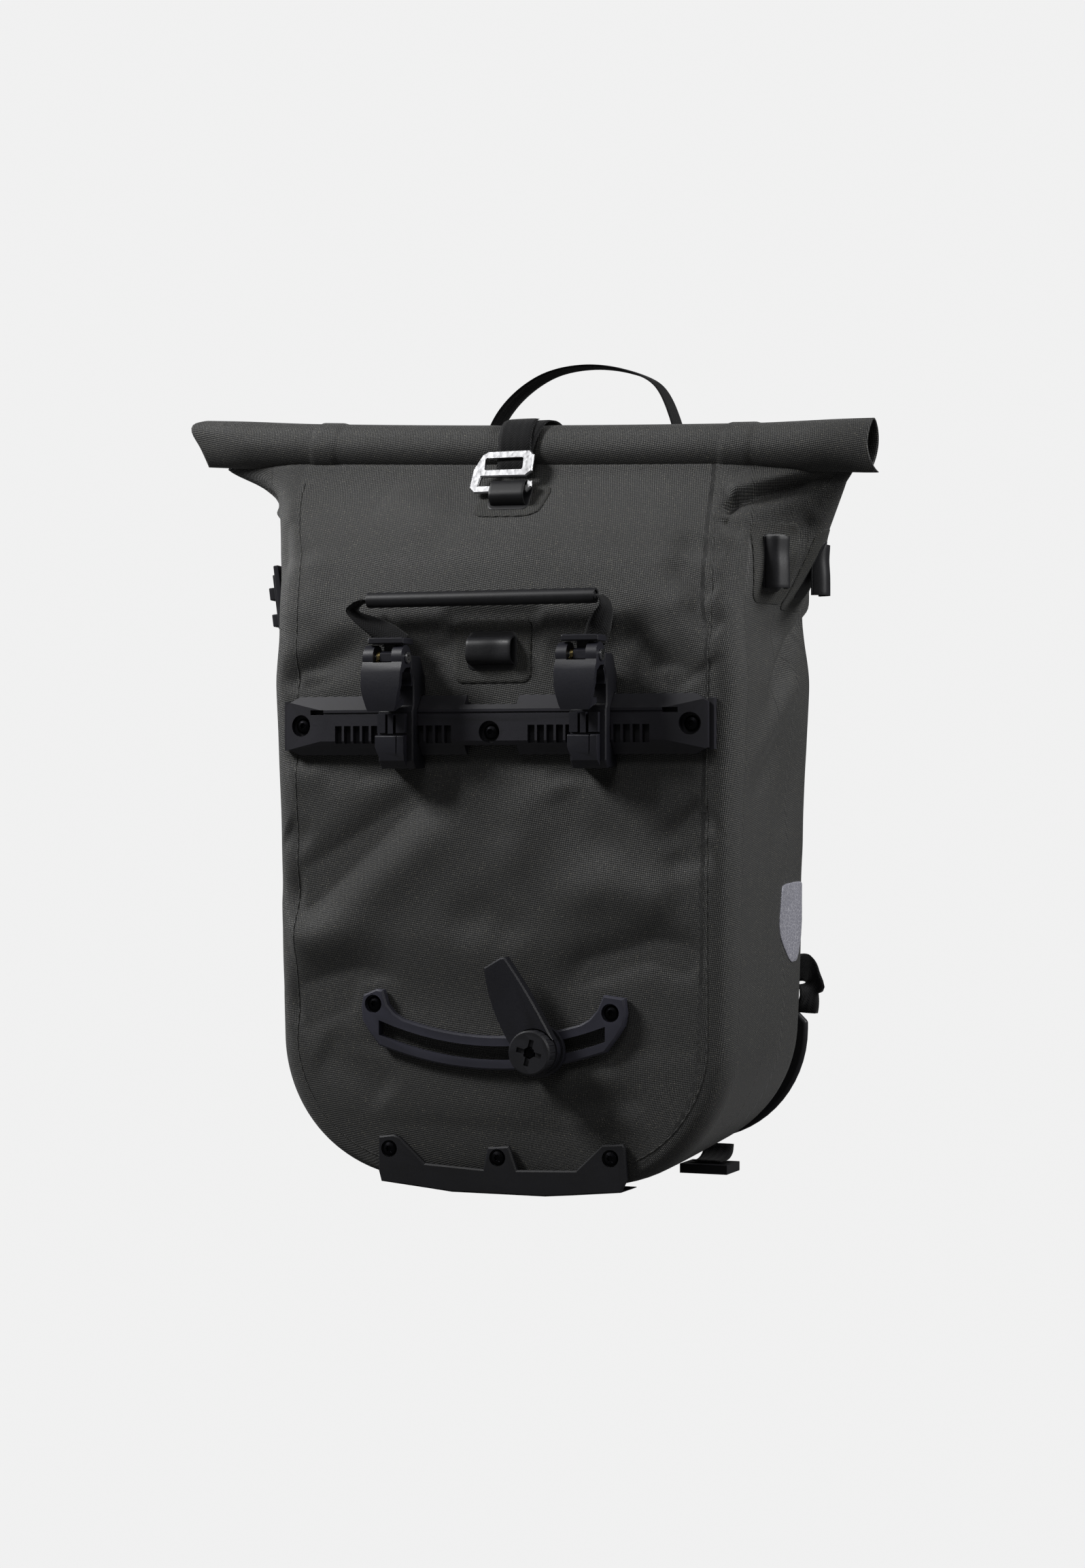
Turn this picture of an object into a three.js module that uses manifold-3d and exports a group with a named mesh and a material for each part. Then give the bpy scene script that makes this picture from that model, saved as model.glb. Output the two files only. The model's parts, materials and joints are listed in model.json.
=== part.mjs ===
// Roll-top bicycle pannier bag, millimetres, +Z up.
// X runs across the mounting panel, Y from the mounting panel (front) to the harness side (back).
import * as THREE from 'three';
import * as BufferGeometryUtils from 'three/addons/utils/BufferGeometryUtils.js';
import Module from 'manifold-3d';

const wasm = await Module();
wasm.setup();

// ---------- driving dimensions ----------
const GAP = 0.3; // between neighbouring pieces

const DEPTH = 176; // front panel to back panel
const CORNER_R = 90; // bottom corners of the front view
const BODY_BOTTOM = 6.5;
const BOTTOM_RISE = 11; // how far the bottom rises from front to back
const EDGE_R = 19; // front vertical edges
const BACK_R = 36; // back vertical edges

const ROLL = { y: 56, z: 493, r: 16.5, half: 240, tilt: -0.0315 };

const RAIL = { half: 147, flat: 120, nose: 8.5, z: 304.3, tall: 38.5, thick: 13, slots: 13, pitch: 6.5 };
const RAIL_SCREWS = [[-135.5, 304.3], [0, 299.6], [135.5, 304.3]];

const HOOK_X = [-63.5, 70]; // two hooks, 133.5 apart
const HOOK = { pinY: -32, pinZ: 347.5, boreY: -30, boreZ: 332.5, boreR: 10, tubeR: 8.2, lobe: 8.3 };

const ARC = { x: -1.5, z: 316, r: 224, half: 80, wide: 22, slot: 9, thick: 7.5 };
const ARC_SCREWS = [[-84.6, 121.8], [81, 120]];
const KNOB = { x: 34, z: 94.9 };

const GUARD = { left: -82, right: 90, z: 0.6, thick: 4.6, under: 26 };
const GUARD_SCREWS = [[-74.4, 27], [2.2, 24.2], [80, 27]];

const HANDLE = { y: -14, z: 386, left: -85, right: 74, r: 5 };
const LOOP = { x: -3, z: 455.5 }; // closure loop on the upper front

const WEB = 25; // webbing width
const WEB_THICK = 2;

// ---------- materials ----------
function finish(color, roughness, metalness = 0) {
  return new THREE.MeshStandardMaterial({ color, roughness, metalness });
}
const FABRIC = () => finish(0x3b3b39, 0.78);
const PLASTIC = () => finish(0x2b2a31, 0.5);
const SLATE = () => finish(0x46465a, 0.55);
const BLACK_PLASTIC = () => finish(0x1c1b20, 0.5);
const WEBBING = () => finish(0x131315, 0.85);
const RUBBER = () => finish(0x242329, 0.6);
const FOAM = () => finish(0x29292b, 0.9);
const METAL = () => finish(0xd9d9dc, 0.3, 0.9);
const BRASS = () => finish(0xb59a5c, 0.35, 0.9);
const SCREW = () => finish(0x17171a, 0.4, 0.4);
const REFLECTIVE = () => finish(0xa6a6b0, 0.45);

const bag = new THREE.Group();

function put(name, geometry, material) {
  const mesh = new THREE.Mesh(geometry, material);
  mesh.name = name;
  bag.add(mesh);
  return mesh;
}

// ---------- solid helpers ----------
function toSolid(geometry) {
  let g = geometry.clone();
  g.deleteAttribute('normal');
  g.deleteAttribute('uv');
  g = BufferGeometryUtils.mergeVertices(g, 1e-4);
  const vertProperties = new Float32Array(g.attributes.position.array);
  const triVerts = new Uint32Array(g.index.array);
  return new wasm.Manifold(new wasm.Mesh({ numProp: 3, vertProperties, triVerts }));
}

function toGeometry(solid) {
  const mesh = solid.getMesh();
  const g = new THREE.BufferGeometry();
  g.setAttribute('position', new THREE.BufferAttribute(new Float32Array(mesh.vertProperties), 3));
  g.setIndex(new THREE.BufferAttribute(new Uint32Array(mesh.triVerts), 1));
  g.computeVertexNormals();
  return g;
}

function join(...list) {
  return toGeometry(list.map(toSolid).reduce((a, b) => a.add(b)));
}

function cut(base, ...tools) {
  return toGeometry(tools.map(toSolid).reduce((a, b) => a.subtract(b), toSolid(base)));
}

function common(a, b) {
  return toGeometry(toSolid(a).intersect(toSolid(b)));
}

// a box from its lowest to its highest corner
function box(x0, x1, y0, y1, z0, z1) {
  const g = new THREE.BoxGeometry(x1 - x0, y1 - y0, z1 - z0);
  return g.translate((x0 + x1) / 2, (y0 + y1) / 2, (z0 + z1) / 2);
}

// a round bar between two values of one axis
function barX(x0, x1, y, z, r, sides = 24) {
  return new THREE.CylinderGeometry(r, r, x1 - x0, sides).rotateZ(Math.PI / 2).translate((x0 + x1) / 2, y, z);
}
function barY(y0, y1, x, z, r, sides = 24, rBack = r) {
  return new THREE.CylinderGeometry(rBack, r, y1 - y0, sides).translate(x, (y0 + y1) / 2, z);
}

// points in (x, z) extruded along Y from y0 (front) to y1 (back), with an optional bevel on both faces
function shapeOf(points) {
  return new THREE.Shape(points.map((p) => new THREE.Vector2(p[0], p[1])));
}
function plateShape(shape, y0, y1, bevel = 0, segments = 6) {
  const g = new THREE.ExtrudeGeometry(shape, {
    depth: y1 - y0 - 2 * bevel,
    bevelEnabled: bevel > 0,
    bevelThickness: bevel,
    bevelSize: bevel,
    bevelOffset: -bevel,
    bevelSegments: 1,
    curveSegments: segments,
  });
  return g.rotateX(Math.PI / 2).translate(0, y1 - bevel, 0);
}
function plate(points, y0, y1, bevel = 0) {
  return plateShape(shapeOf(points), y0, y1, bevel);
}
// points in (y, z) extruded along X from x0 to x1
function barOf(points, x0, x1, bevel = 0) {
  const g = new THREE.ExtrudeGeometry(shapeOf(points), {
    depth: x1 - x0 - 2 * bevel,
    bevelEnabled: bevel > 0,
    bevelThickness: bevel,
    bevelSize: bevel,
    bevelOffset: -bevel,
    bevelSegments: 1,
  });
  return g.rotateX(Math.PI / 2).rotateZ(Math.PI / 2).translate(x0 + bevel, 0, 0);
}
// points in (x, y) extruded along Z from z0 to z1
function slab(points, z0, z1) {
  const g = new THREE.ExtrudeGeometry(shapeOf(points), { depth: z1 - z0, bevelEnabled: false });
  return g.translate(0, 0, z0);
}

// a rounded rectangle path, centred on (cx, cz)
function roundRect(cx, cz, w, h, r) {
  const s = new THREE.Shape();
  const [x0, x1, z0, z1] = [cx - w / 2, cx + w / 2, cz - h / 2, cz + h / 2];
  s.moveTo(x0 + r, z0);
  s.lineTo(x1 - r, z0);
  s.absarc(x1 - r, z0 + r, r, -Math.PI / 2, 0, false);
  s.lineTo(x1, z1 - r);
  s.absarc(x1 - r, z1 - r, r, 0, Math.PI / 2, false);
  s.lineTo(x0 + r, z1);
  s.absarc(x0 + r, z1 - r, r, Math.PI / 2, Math.PI, false);
  s.lineTo(x0, z0 + r);
  s.absarc(x0 + r, z0 + r, r, Math.PI, 1.5 * Math.PI, false);
  return s;
}

// a flat strap of a given width swept along points, its flat side facing away from `across`
function strap(points, across, width, thick, steps) {
  const curve = new THREE.CatmullRomCurve3(points.map((p) => new THREE.Vector3(...p)), false, 'centripetal');
  const side = new THREE.Vector3(...across).normalize();
  const n = steps + 1;
  const g = new THREE.BoxGeometry(1, 1, 1, 1, 1, steps);
  const pos = g.attributes.position;
  const v = new THREE.Vector3();
  for (let i = 0; i < pos.count; i++) {
    v.fromBufferAttribute(pos, i);
    const t = Math.min(Math.max(Math.round((v.z + 0.5) * (n - 1)) / (n - 1), 0), 1);
    const tangent = curve.getTangentAt(t);
    const normal = new THREE.Vector3().crossVectors(side, tangent).normalize();
    const at = curve.getPointAt(t);
    at.addScaledVector(side, v.x * width);
    at.addScaledVector(normal, -v.y * thick);
    pos.setXYZ(i, at.x, at.y, at.z);
  }
  return facingOut(g);
}

// turns a closed mesh so that its volume is positive
function facingOut(g) {
  const pos = g.attributes.position;
  const idx = g.index.array;
  let volume = 0;
  const [a, b, c] = [new THREE.Vector3(), new THREE.Vector3(), new THREE.Vector3()];
  for (let i = 0; i < idx.length; i += 3) {
    a.fromBufferAttribute(pos, idx[i]);
    b.fromBufferAttribute(pos, idx[i + 1]);
    c.fromBufferAttribute(pos, idx[i + 2]);
    volume += a.dot(b.cross(c));
  }
  if (volume < 0) {
    for (let i = 0; i < idx.length; i += 3) {
      const keep = idx[i];
      idx[i] = idx[i + 1];
      idx[i + 1] = keep;
    }
  }
  return g;
}

// value at t of a smooth curve through [t, value] pairs
function along(table, t) {
  const last = table.length - 1;
  if (t <= table[0][0]) return table[0][1];
  if (t >= table[last][0]) return table[last][1];
  const k = table.findIndex((row) => row[0] > t) - 1;
  const [t0, v0] = table[k];
  const [t1, v1] = table[k + 1];
  return THREE.MathUtils.lerp(v0, v1, (t - t0) / (t1 - t0));
}

// ---------- bag shell ----------
// The section at a height is a six-cornered loop: two front corners, two side folds, two back corners.
const SIDE_HALF = [[0, 156], [87, 158], [154, 160], [245, 161], [300, 163], [335, 165], [365, 163]];
const TOP_HALF = {
  left: [[365, 163], [400, 163], [420, 166], [440, 170], [458, 174], [476, 171]],
  right: [[365, 163], [385, 152], [417, 148], [476, 146]],
};
const FOLD_HALF = {
  left: [[365, 163], [385, 172], [417, 184], [440, 188], [456, 194], [476, 215]],
  right: [[365, 163], [385, 180], [417, 199], [445, 210], [476, 226]],
};
const FRONT_Y = [[350, 0], [385, 3], [417, 14], [445, 27], [476, 45]];
const BACK_Y = [[350, 176], [385, 171], [417, 153], [445, 118], [476, 68]];
const FOLD_START = 365;

function bodyCorners(z, inBottom) {
  const top = z >= FOLD_START;
  const wide = (table) => (top ? along(table, z) : along(SIDE_HALF, z));
  const drop = Math.sqrt(Math.max(CORNER_R ** 2 - Math.max(CORNER_R - inBottom, 0) ** 2, 0));
  const narrow = CORNER_R - drop;
  const edge = (narrow / CORNER_R) ** 2;
  const backIn = 20 * edge;
  const y0 = along(FRONT_Y, z) + 7 * edge;
  const y1 = along(BACK_Y, z) - backIn;
  const ease = THREE.MathUtils.smoothstep(z, FOLD_START, 476);
  return {
    left: narrow - wide(TOP_HALF.left),
    right: wide(TOP_HALF.right) - narrow,
    foldLeft: narrow - wide(FOLD_HALF.left),
    foldRight: wide(FOLD_HALF.right) - narrow,
    y0,
    y1,
    ym: (y0 + y1) / 2,
    frontR: THREE.MathUtils.lerp(EDGE_R, 5, ease),
    foldR: 20,
    backR: THREE.MathUtils.lerp(BACK_R, 5, ease),
  };
}

const LOOP_PARTS = { straight: 3, corner: 3 };

// the loop of points of one section, starting in the middle of the front
function bodyRing(z, inBottom) {
  const c = bodyCorners(z, inBottom);
  const corner = [
    [c.right, c.y0, c.frontR],
    [c.foldRight, c.ym, c.foldR],
    [c.right, c.y1, c.backR],
    [c.left, c.y1, c.backR],
    [c.foldLeft, c.ym, c.foldR],
    [c.left, c.y0, c.frontR],
  ];
  const points = [];
  corner.forEach((now, k) => {
    const before = corner[(k + 5) % 6];
    const after = corner[(k + 1) % 6];
    const p = new THREE.Vector2(now[0], now[1]);
    const a = new THREE.Vector2(before[0], before[1]).sub(p).setLength(now[2]).add(p);
    const b = new THREE.Vector2(after[0], after[1]).sub(p).setLength(now[2]).add(p);
    const next = new THREE.Vector2(after[0], after[1]);
    const nextIn = new THREE.Vector2(now[0], now[1]).sub(next).setLength(after[2]).add(next);
    points.push(...new THREE.QuadraticBezierCurve(a, p, b).getPoints(LOOP_PARTS.corner));
    for (let i = 1; i < LOOP_PARTS.straight; i++) {
      points.push(b.clone().lerp(nextIn, i / LOOP_PARTS.straight));
    }
  });
  return points;
}

// closed skin over rings of points: a cylinder whose rows and caps are moved onto the rings
function skin(rings) {
  const [around, up] = [rings[0].length, rings.length - 1];
  const g = new THREE.CylinderGeometry(1, 1, 1, around, up);
  const pos = g.attributes.position;
  const middle = (ring) => ring.reduce((s, p) => s.add(p), new THREE.Vector3()).divideScalar(ring.length);
  const caps = [middle(rings[up]), middle(rings[0])];
  const side = (around + 1) * (up + 1);
  const cap = 2 * around + 1;
  for (let i = 0; i < pos.count; i++) {
    let p;
    if (i < side) {
      p = rings[up - Math.floor(i / (around + 1))][(i % (around + 1)) % around];
    } else {
      const k = Math.floor((i - side) / cap);
      const j = (i - side) % cap;
      p = j < around ? caps[k] : rings[k === 0 ? up : 0][(j - around) % around];
    }
    pos.setXYZ(i, p.x, p.y, p.z);
  }
  return facingOut(g);
}

const BODY_LEVELS = [0, 3, 10, 21, 36, 58, 90, 130, 180, 235, 285, 325, 350, 365, 380, 398, 417, 436, 456, 469.5];

function bodySkin() {
  const rings = BODY_LEVELS.map((level) => {
    const z = BODY_BOTTOM + level;
    return bodyRing(z, level).map((p) => {
      const rise = BOTTOM_RISE * (p.y / DEPTH) * Math.max(1 - level / 200, 0);
      const tilt = ROLL.tilt * p.x * THREE.MathUtils.smoothstep(z, FOLD_START, 476);
      return new THREE.Vector3(p.x, p.y, z + rise + tilt);
    });
  });
  return skin(rings);
}

const BOARD = { half: 138, low: 88, high: 338, y0: 2.3, y1: 4.5 };
const SHANK_R = 2.4;

function screwPlaces() {
  return [...RAIL_SCREWS, ...ARC_SCREWS];
}

function bagBody() {
  const pocket = box(-BOARD.half - GAP, BOARD.half + GAP, BOARD.y0 - GAP, BOARD.y1 + GAP,
    BOARD.low - GAP, BOARD.high + GAP);
  const holes = screwPlaces().map(([x, z]) => barY(-2, BOARD.y0 + 1, x, z, SHANK_R + 0.6, 12));
  return cut(bodySkin(), pocket, ...holes);
}

function stiffenerBoard() {
  const holes = screwPlaces().map(([x, z]) => barY(0, 6, x, z, SHANK_R + 0.4, 12));
  return cut(box(-BOARD.half, BOARD.half, BOARD.y0, BOARD.y1, BOARD.low, BOARD.high), ...holes);
}

// the rolled top: a bar along X whose cut ends are slanted like folded cloth
function rollTop() {
  const stations = [-1, -0.8, -0.4, 0, 0.4, 0.8, 1];
  const sides = 24;
  const rings = stations.map((s) => {
    const ring = [];
    for (let i = 0; i < sides; i++) {
      const a = (i / sides) * 2 * Math.PI;
      const lean = Math.cos(a);
      const leftEnd = -6 + (lean > 0 ? 8 : -20) * lean;
      const rightEnd = 2 - 4 * Math.abs(lean);
      const x = ROLL.half * s + (s === -1 ? leftEnd : 0) + (s === 1 ? rightEnd : 0);
      const y = ROLL.y + ROLL.r * Math.sin(a);
      ring.push(new THREE.Vector3(x, y, ROLL.z + ROLL.tilt * x + ROLL.r * Math.cos(a)));
    }
    return ring;
  });
  return skin(rings.map((ring) => ring.reverse()));
}

put('bag_body', bagBody(), FABRIC());
put('roll_top', rollTop(), FABRIC());
put('stiffener_board', stiffenerBoard(), BLACK_PLASTIC());

// ---------- screws ----------
// dome head with a six-lobed socket, front of the head at y = front, shank to y = back
function screw(x, z, front, back, headR = 5) {
  const dome = [
    [0, 0],
    [headR * 0.45, 0.15],
    [headR * 0.8, 0.8],
    [headR, 1.9],
    [headR, 2.6],
    [SHANK_R, 2.6],
    [SHANK_R, back - front],
    [0, back - front],
  ].map((p) => new THREE.Vector2(p[0], p[1]));
  const turned = new THREE.LatheGeometry(dome, 16);
  const star = [];
  for (let i = 0; i < 12; i++) {
    const r = i % 2 ? 1.5 : 2.3;
    const a = (i / 12) * 2 * Math.PI;
    star.push([r * Math.cos(a), r * Math.sin(a)]);
  }
  const cutStar = plate(star, -1, 1.4);
  return cut(facingOut(turned), cutStar).translate(x, front, z);
}

// ---------- upper mounting rail ----------
const RAIL_BACK = -0.4;
const LIP = -4; // the lips stand off the panel, so that the hooks can grip behind them

function mountingRail() {
  const low = RAIL.z - RAIL.tall / 2;
  const high = RAIL.z + RAIL.tall / 2;
  const face = -RAIL.thick;
  const profile = [
    [RAIL_BACK, low + 4.7],
    [LIP, low + 4.7],
    [LIP, low],
    [-6, low],
    [face, 294],
    [face, 311.4],
    [face + 0.8, 311.8],
    [face + 0.8, 312.4],
    [face, 312.8],
    [face, 314.5],
    [-6, high],
    [LIP, high],
    [LIP, high - 4.5],
    [RAIL_BACK, high - 4.5],
  ];
  const plan = slab([
    [-RAIL.half, RAIL_BACK],
    [-RAIL.half, -RAIL.nose],
    [-RAIL.flat, face],
    [RAIL.flat, face],
    [RAIL.half, -RAIL.nose],
    [RAIL.half, RAIL_BACK],
  ], low - 1, high + 1);
  const front = plate([
    [-RAIL.half, low + 4],
    [-RAIL.half + 9, low],
    [RAIL.half - 9, low],
    [RAIL.half, low + 4],
    [RAIL.half, high - 5.5],
    [RAIL.half - 9, high],
    [-RAIL.half + 9, high],
    [-RAIL.half, high - 5.5],
  ], face - 1, 1);
  const bar = common(common(barOf(profile, -RAIL.half - 1, RAIL.half + 1), plan), front);
  const endFill = [-1, 1].map((s) => {
    const [a, b] = [s * (RAIL.flat + 30), s * (RAIL.half - 1)].sort((p, q) => p - q);
    return box(a, b, LIP - 1, RAIL_BACK, low + 3, high - 3);
  });
  const tools = [];
  for (const side of [-1, 1]) {
    for (let i = 0; i < RAIL.slots; i++) {
      const x = side * (29.1 + i * RAIL.pitch);
      tools.push(box(x - 2.4, x + 2.4, face - 1, face + 4.5, 292.5, 304));
    }
    tools.push(box(side * 123 - 5, side * 123 + 5, face - 1, -6.5, 311.4, 314.6));
    tools.push(barY(face - 2, -5, side * 135.5, RAIL.z, 7.2, 24));
  }
  for (const z of [high - 6, low - 3]) {
    tools.push(box(-18.3, 18.3, face - 1, 1, z, z + 9));
  }
  tools.push(barY(face - 1, -8.2, 0, RAIL_SCREWS[1][1], 7.2, 24));
  for (const [x, z] of RAIL_SCREWS) {
    tools.push(barY(face, 1, x, z, SHANK_R + 0.4, 16));
  }
  return cut(join(bar, ...endFill), ...tools);
}

put('mounting_rail', mountingRail(), PLASTIC());
RAIL_SCREWS.forEach(([x, z], i) => {
  put(`rail_screw_${i + 1}`, screw(x, z, x === 0 ? -11.2 : -8, 4), SCREW());
});

// ---------- rack hooks ----------
function hookBody(hx) {
  const [left, right] = [hx - 11, hx + 13.5];
  const spine = [
    [-0.9, 276.5],
    [-17, 276],
    [-21.4, 281],
    [-21.4, 313],
    [-19.6, 317],
    [-19.6, 332.5],
    [-22, 338.6],
    [-23.4, 341],
    [-23.2, 349.3],
    [-9, 349.3],
    [-1.2, 336],
    [-0.9, 319.4],
    [-3.6, 319.4],
    [-3.6, 323.9],
    [-6.2, 323.9],
    [-13.4, 314.7],
    [-13.4, 293.8],
    [-6.2, 284.7],
    [-3.6, 284.7],
    [-3.6, 289.7],
    [-0.9, 289.7],
  ];
  const barrel = barOf([
    [-22, 338],
    [-25, 341.2],
    [-30, 342.4],
    [-33.5, 341.9],
    [-36.4, 345],
    [-36.4, 350],
    [-34, 351.9],
    [-30, 352],
    [-30, 357],
    [-22.9, 357],
    [-22.9, 345],
  ], hx - 3, hx + 6.1);
  const cap = plate([
    [hx - 10.6, 356.4],
    [hx + 14.5, 356.4],
    [hx + 14.5, 359.6],
    [hx + 13, 360.3],
    [hx - 9.8, 360.3],
    [hx - 10.6, 359.4],
  ], -39, -22.9, 0.6);
  const upper = [
    box(hx - 10.2, hx - 4.4, -25, -21, 299, 311.6),
    box(hx - 2.6, hx + 1.2, -25.4, -21, 298.6, 311.6),
    box(hx + 3, hx + 9.4, -25, -21, 299, 311.6),
  ];
  const round = barX(left - 1, right + 1, HOOK.boreY, HOOK.boreZ, HOOK.boreR, 32);
  const throat = box(left - 1, right + 1, -45, HOOK.boreY + HOOK.boreR, 316.5, HOOK.boreZ);
  const pinHole = barX(left - 9, right + 9, HOOK.pinY, HOOK.pinZ, 3.5, 20);
  return cut(join(barOf(spine, left, right, 0.8), barrel, cap, ...upper), round, throat, pinHole);
}

// the liner that reduces the hook to a thinner rack tube
function hookInsert(hx) {
  const outer = HOOK.boreR - GAP;
  const arch = cut(
    barX(hx - 10.4, hx + 12.9, HOOK.boreY, HOOK.boreZ, outer, 32),
    barX(hx - 12, hx + 15, HOOK.boreY, HOOK.boreZ, HOOK.tubeR, 32),
    box(hx - 12, hx + 15, -45, 0, 310, HOOK.boreZ - 3),
    box(hx - 12, hx + 15, -45, HOOK.boreY, 310, 350),
    box(hx - 12, hx + 15, -45, HOOK.boreY + 5.6, 338.6, 350),
  );
  return join(arch, box(hx + 1, hx + 7, -20.6, -19.95, 329.7, 332));
}

// spring-loaded flap that hangs from the pin and closes the hook under the rack tube
function hookFlap(hx) {
  const { pinY: y, pinZ: z, lobe } = HOOK;
  const lobePoints = [];
  for (let a = 200; a >= -20; a -= 20) {
    const t = THREE.MathUtils.degToRad(a);
    lobePoints.push([y + lobe * Math.cos(t), z + lobe * Math.sin(t)]);
  }
  const side = [
    [-42.6, 338],
    ...lobePoints,
    [-26, 342],
    [-33, 339.4],
    [-38.4, 337.6],
    [-38.8, 326],
    [-37, 322.6],
    [-28, 320.6],
    [-22.4, 320.8],
    [-22, 317.8],
    [-28, 315.6],
    [-36.5, 312.9],
    [-40, 312.8],
    [-42.6, 322],
  ];
  const blank = barOf(side, hx - 14, hx + 14);
  const front = plate([
    [hx - 9.6, 311],
    [hx + 7.2, 311],
    [hx + 10, 316.2],
    [hx + 13.2, 329.4],
    [hx + 14, 342],
    [hx + 13.4, 360],
    [hx - 13, 360],
    [hx - 13.9, 342],
    [hx - 13.9, 328],
    [hx - 11.2, 315.5],
  ], -50, 0);
  const fork = box(hx - 6.4, hx + 6.5, -60, 0, 344.3, 362);
  const rearGap = box(hx - 6.4, hx + 6.5, -38.2, 0, 330, 345);
  const tongueLeft = box(hx - 20, hx - 7.5, -37.8, 0, 300, 338);
  const tongueRight = box(hx + 7.5, hx + 20, -37.8, 0, 300, 338);
  const clearTube = barX(hx - 20, hx + 20, HOOK.boreY, HOOK.boreZ, 8.7, 32);
  const pinHole = barX(hx - 20, hx + 20, y, z, 3.5, 20);
  const groove = box(hx - 7, hx + 7, -44, -42.2, 341.9, 342.7);
  const arch = box(hx - 6.4, hx + 6.5, -44, -42.3, 320, 320.6);
  return cut(common(blank, front), fork, rearGap, tongueLeft, tongueRight, clearTube, pinHole, groove, arch);
}

function hookPin(hx) {
  const bar = barX(hx - 14.2, hx + 14.4, HOOK.pinY, HOOK.pinZ, 3.2, 20);
  const head = barX(hx + 14.3, hx + 15.4, HOOK.pinY, HOOK.pinZ, 3.6, 20);
  const hollow = barX(hx + 11, hx + 16, HOOK.pinY, HOOK.pinZ, 1.7, 16);
  return cut(join(bar, head), hollow);
}

function hookSpring(hx) {
  const ring = barX(hx - 6.1, hx - 3.4, HOOK.pinY, HOOK.pinZ, 5, 24);
  return cut(ring, barX(hx - 8, hx, HOOK.pinY, HOOK.pinZ, 3.6, 24));
}

// catch that locks the hook on the rail
function hookLatch(hx) {
  const side = [
    [-21.8, 277.2],
    [-26.4, 281],
    [-27.8, 287],
    [-27.8, 296.8],
    [-26.8, 297.6],
    [-21.8, 297.6],
  ];
  const front = plate([
    [hx - 3, 275.6],
    [hx + 9.6, 275.6],
    [hx + 9.6, 298.5],
    [hx - 10.6, 298.5],
    [hx - 10.6, 290],
    [hx - 7.2, 280.5],
  ], -40, 0);
  const groove = box(hx + 4.2, hx + 4.9, -29, -27.2, 270, 300);
  return cut(common(barOf(side, hx - 10.6, hx + 9.6), front), groove);
}

['left', 'right'].forEach((side, i) => {
  const hx = HOOK_X[i];
  put(`hook_${side}_body`, hookBody(hx), PLASTIC());
  put(`hook_${side}_insert`, hookInsert(hx), PLASTIC());
  put(`hook_${side}_flap`, hookFlap(hx), PLASTIC());
  put(`hook_${side}_pin`, hookPin(hx), METAL());
  put(`hook_${side}_spring`, hookSpring(hx), BRASS());
  put(`hook_${side}_latch`, hookLatch(hx), PLASTIC());
});

// ---------- carry and release handle ----------
function handleSleeve() {
  const tube = barX(HANDLE.left, HANDLE.right, HANDLE.y, HANDLE.z, HANDLE.r, 20);
  return cut(tube, barX(HANDLE.left - 1, HANDLE.right + 1, HANDLE.y, HANDLE.z, HANDLE.r - 1.5, 20));
}

// webbing that fills the sleeve
function handleCore() {
  return barX(HANDLE.left + 1, HANDLE.right - 1, HANDLE.y, HANDLE.z, HANDLE.r - 1.9, 12);
}

const LEG = { low: 356, wide: 17, thick: 1.8, clear: 2.4 };

// webbing from the end of the sleeve down to the top of a hook; it turns about its upper end
function handleLeg(sign) {
  const end = (sign < 0 ? HANDLE.left : HANDLE.right) + sign * LEG.clear;
  const low = (sign < 0 ? HOOK_X[0] : HOOK_X[1]) + 3;
  const out = sign < 0 ? -8 : 4;
  return strap([
    [end, HANDLE.y, HANDLE.z],
    [end + out * 0.7, HANDLE.y, HANDLE.z - 2.2],
    [end + out, HANDLE.y, HANDLE.z - 8],
    [(end + out * 0.7 + low) / 2, HANDLE.y, HANDLE.z - 19],
    [low, HANDLE.y, LEG.low],
  ], [0, 1, 0], LEG.wide, LEG.thick, 14);
}

put('handle_sleeve', handleSleeve(), RUBBER());
put('handle_core', handleCore(), WEBBING());
put('handle_leg_left', handleLeg(-1), WEBBING());
put('handle_leg_right', handleLeg(1), WEBBING());

// ---------- lower curved rail ----------
function arcPoint(r, x) {
  return [ARC.x + x, ARC.z - Math.sqrt(r ** 2 - x ** 2)];
}
function arcRow(r, x0, x1, steps) {
  return Array.from({ length: steps + 1 }, (_, i) => arcPoint(r, x0 + ((x1 - x0) * i) / steps));
}
// a stretch of ring between two radii, with its ends at -half and half
function arcBand(r0, r1, half, steps = 16) {
  return [...arcRow(r1, -half, half, steps), ...arcRow(r0, half, -half, steps)];
}

function lowerRail() {
  const [inner, outer] = [ARC.r - ARC.wide / 2, ARC.r + ARC.wide / 2];
  const c = ARC.x;
  const outline = [
    ...arcRow(outer, -79, 79, 16),
    [c + 86, 103.5],
    [c + 91.5, 112],
    [c + 93, 120],
    [c + 91.8, 129.5],
    [c + 77.8, 131.2],
    [c + 73.4, 121.6],
    [c + 68, 115.6],
    ...arcRow(inner, 62, -62, 12),
    [c - 68.5, 116],
    [c - 73.4, 121.6],
    [c - 76.4, 131],
    [c - 81, 131.6],
    [c - 90.4, 127.6],
    [c - 91.8, 120],
    [c - 91, 111],
    [c - 86, 103.2],
  ];
  const face = -ARC.thick;
  const slotHalf = ARC.half - 1;
  const slot = plate(arcBand(ARC.r - ARC.slot / 2, ARC.r + ARC.slot / 2, slotHalf), face - 1, 1);
  const back = plate(arcBand(ARC.r - 7.4, ARC.r + 7.4, slotHalf - 3), -3, 1);
  const recess = ARC_SCREWS.map(([x, z]) => barY(face - 1, -3.6, x, z, 6, 24));
  const holes = ARC_SCREWS.map(([x, z]) => barY(face - 1, 1, x, z, SHANK_R + 0.4, 16));
  return cut(plate(outline, face, RAIL_BACK, 1.2), slot, back, ...recess, ...holes);
}

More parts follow.
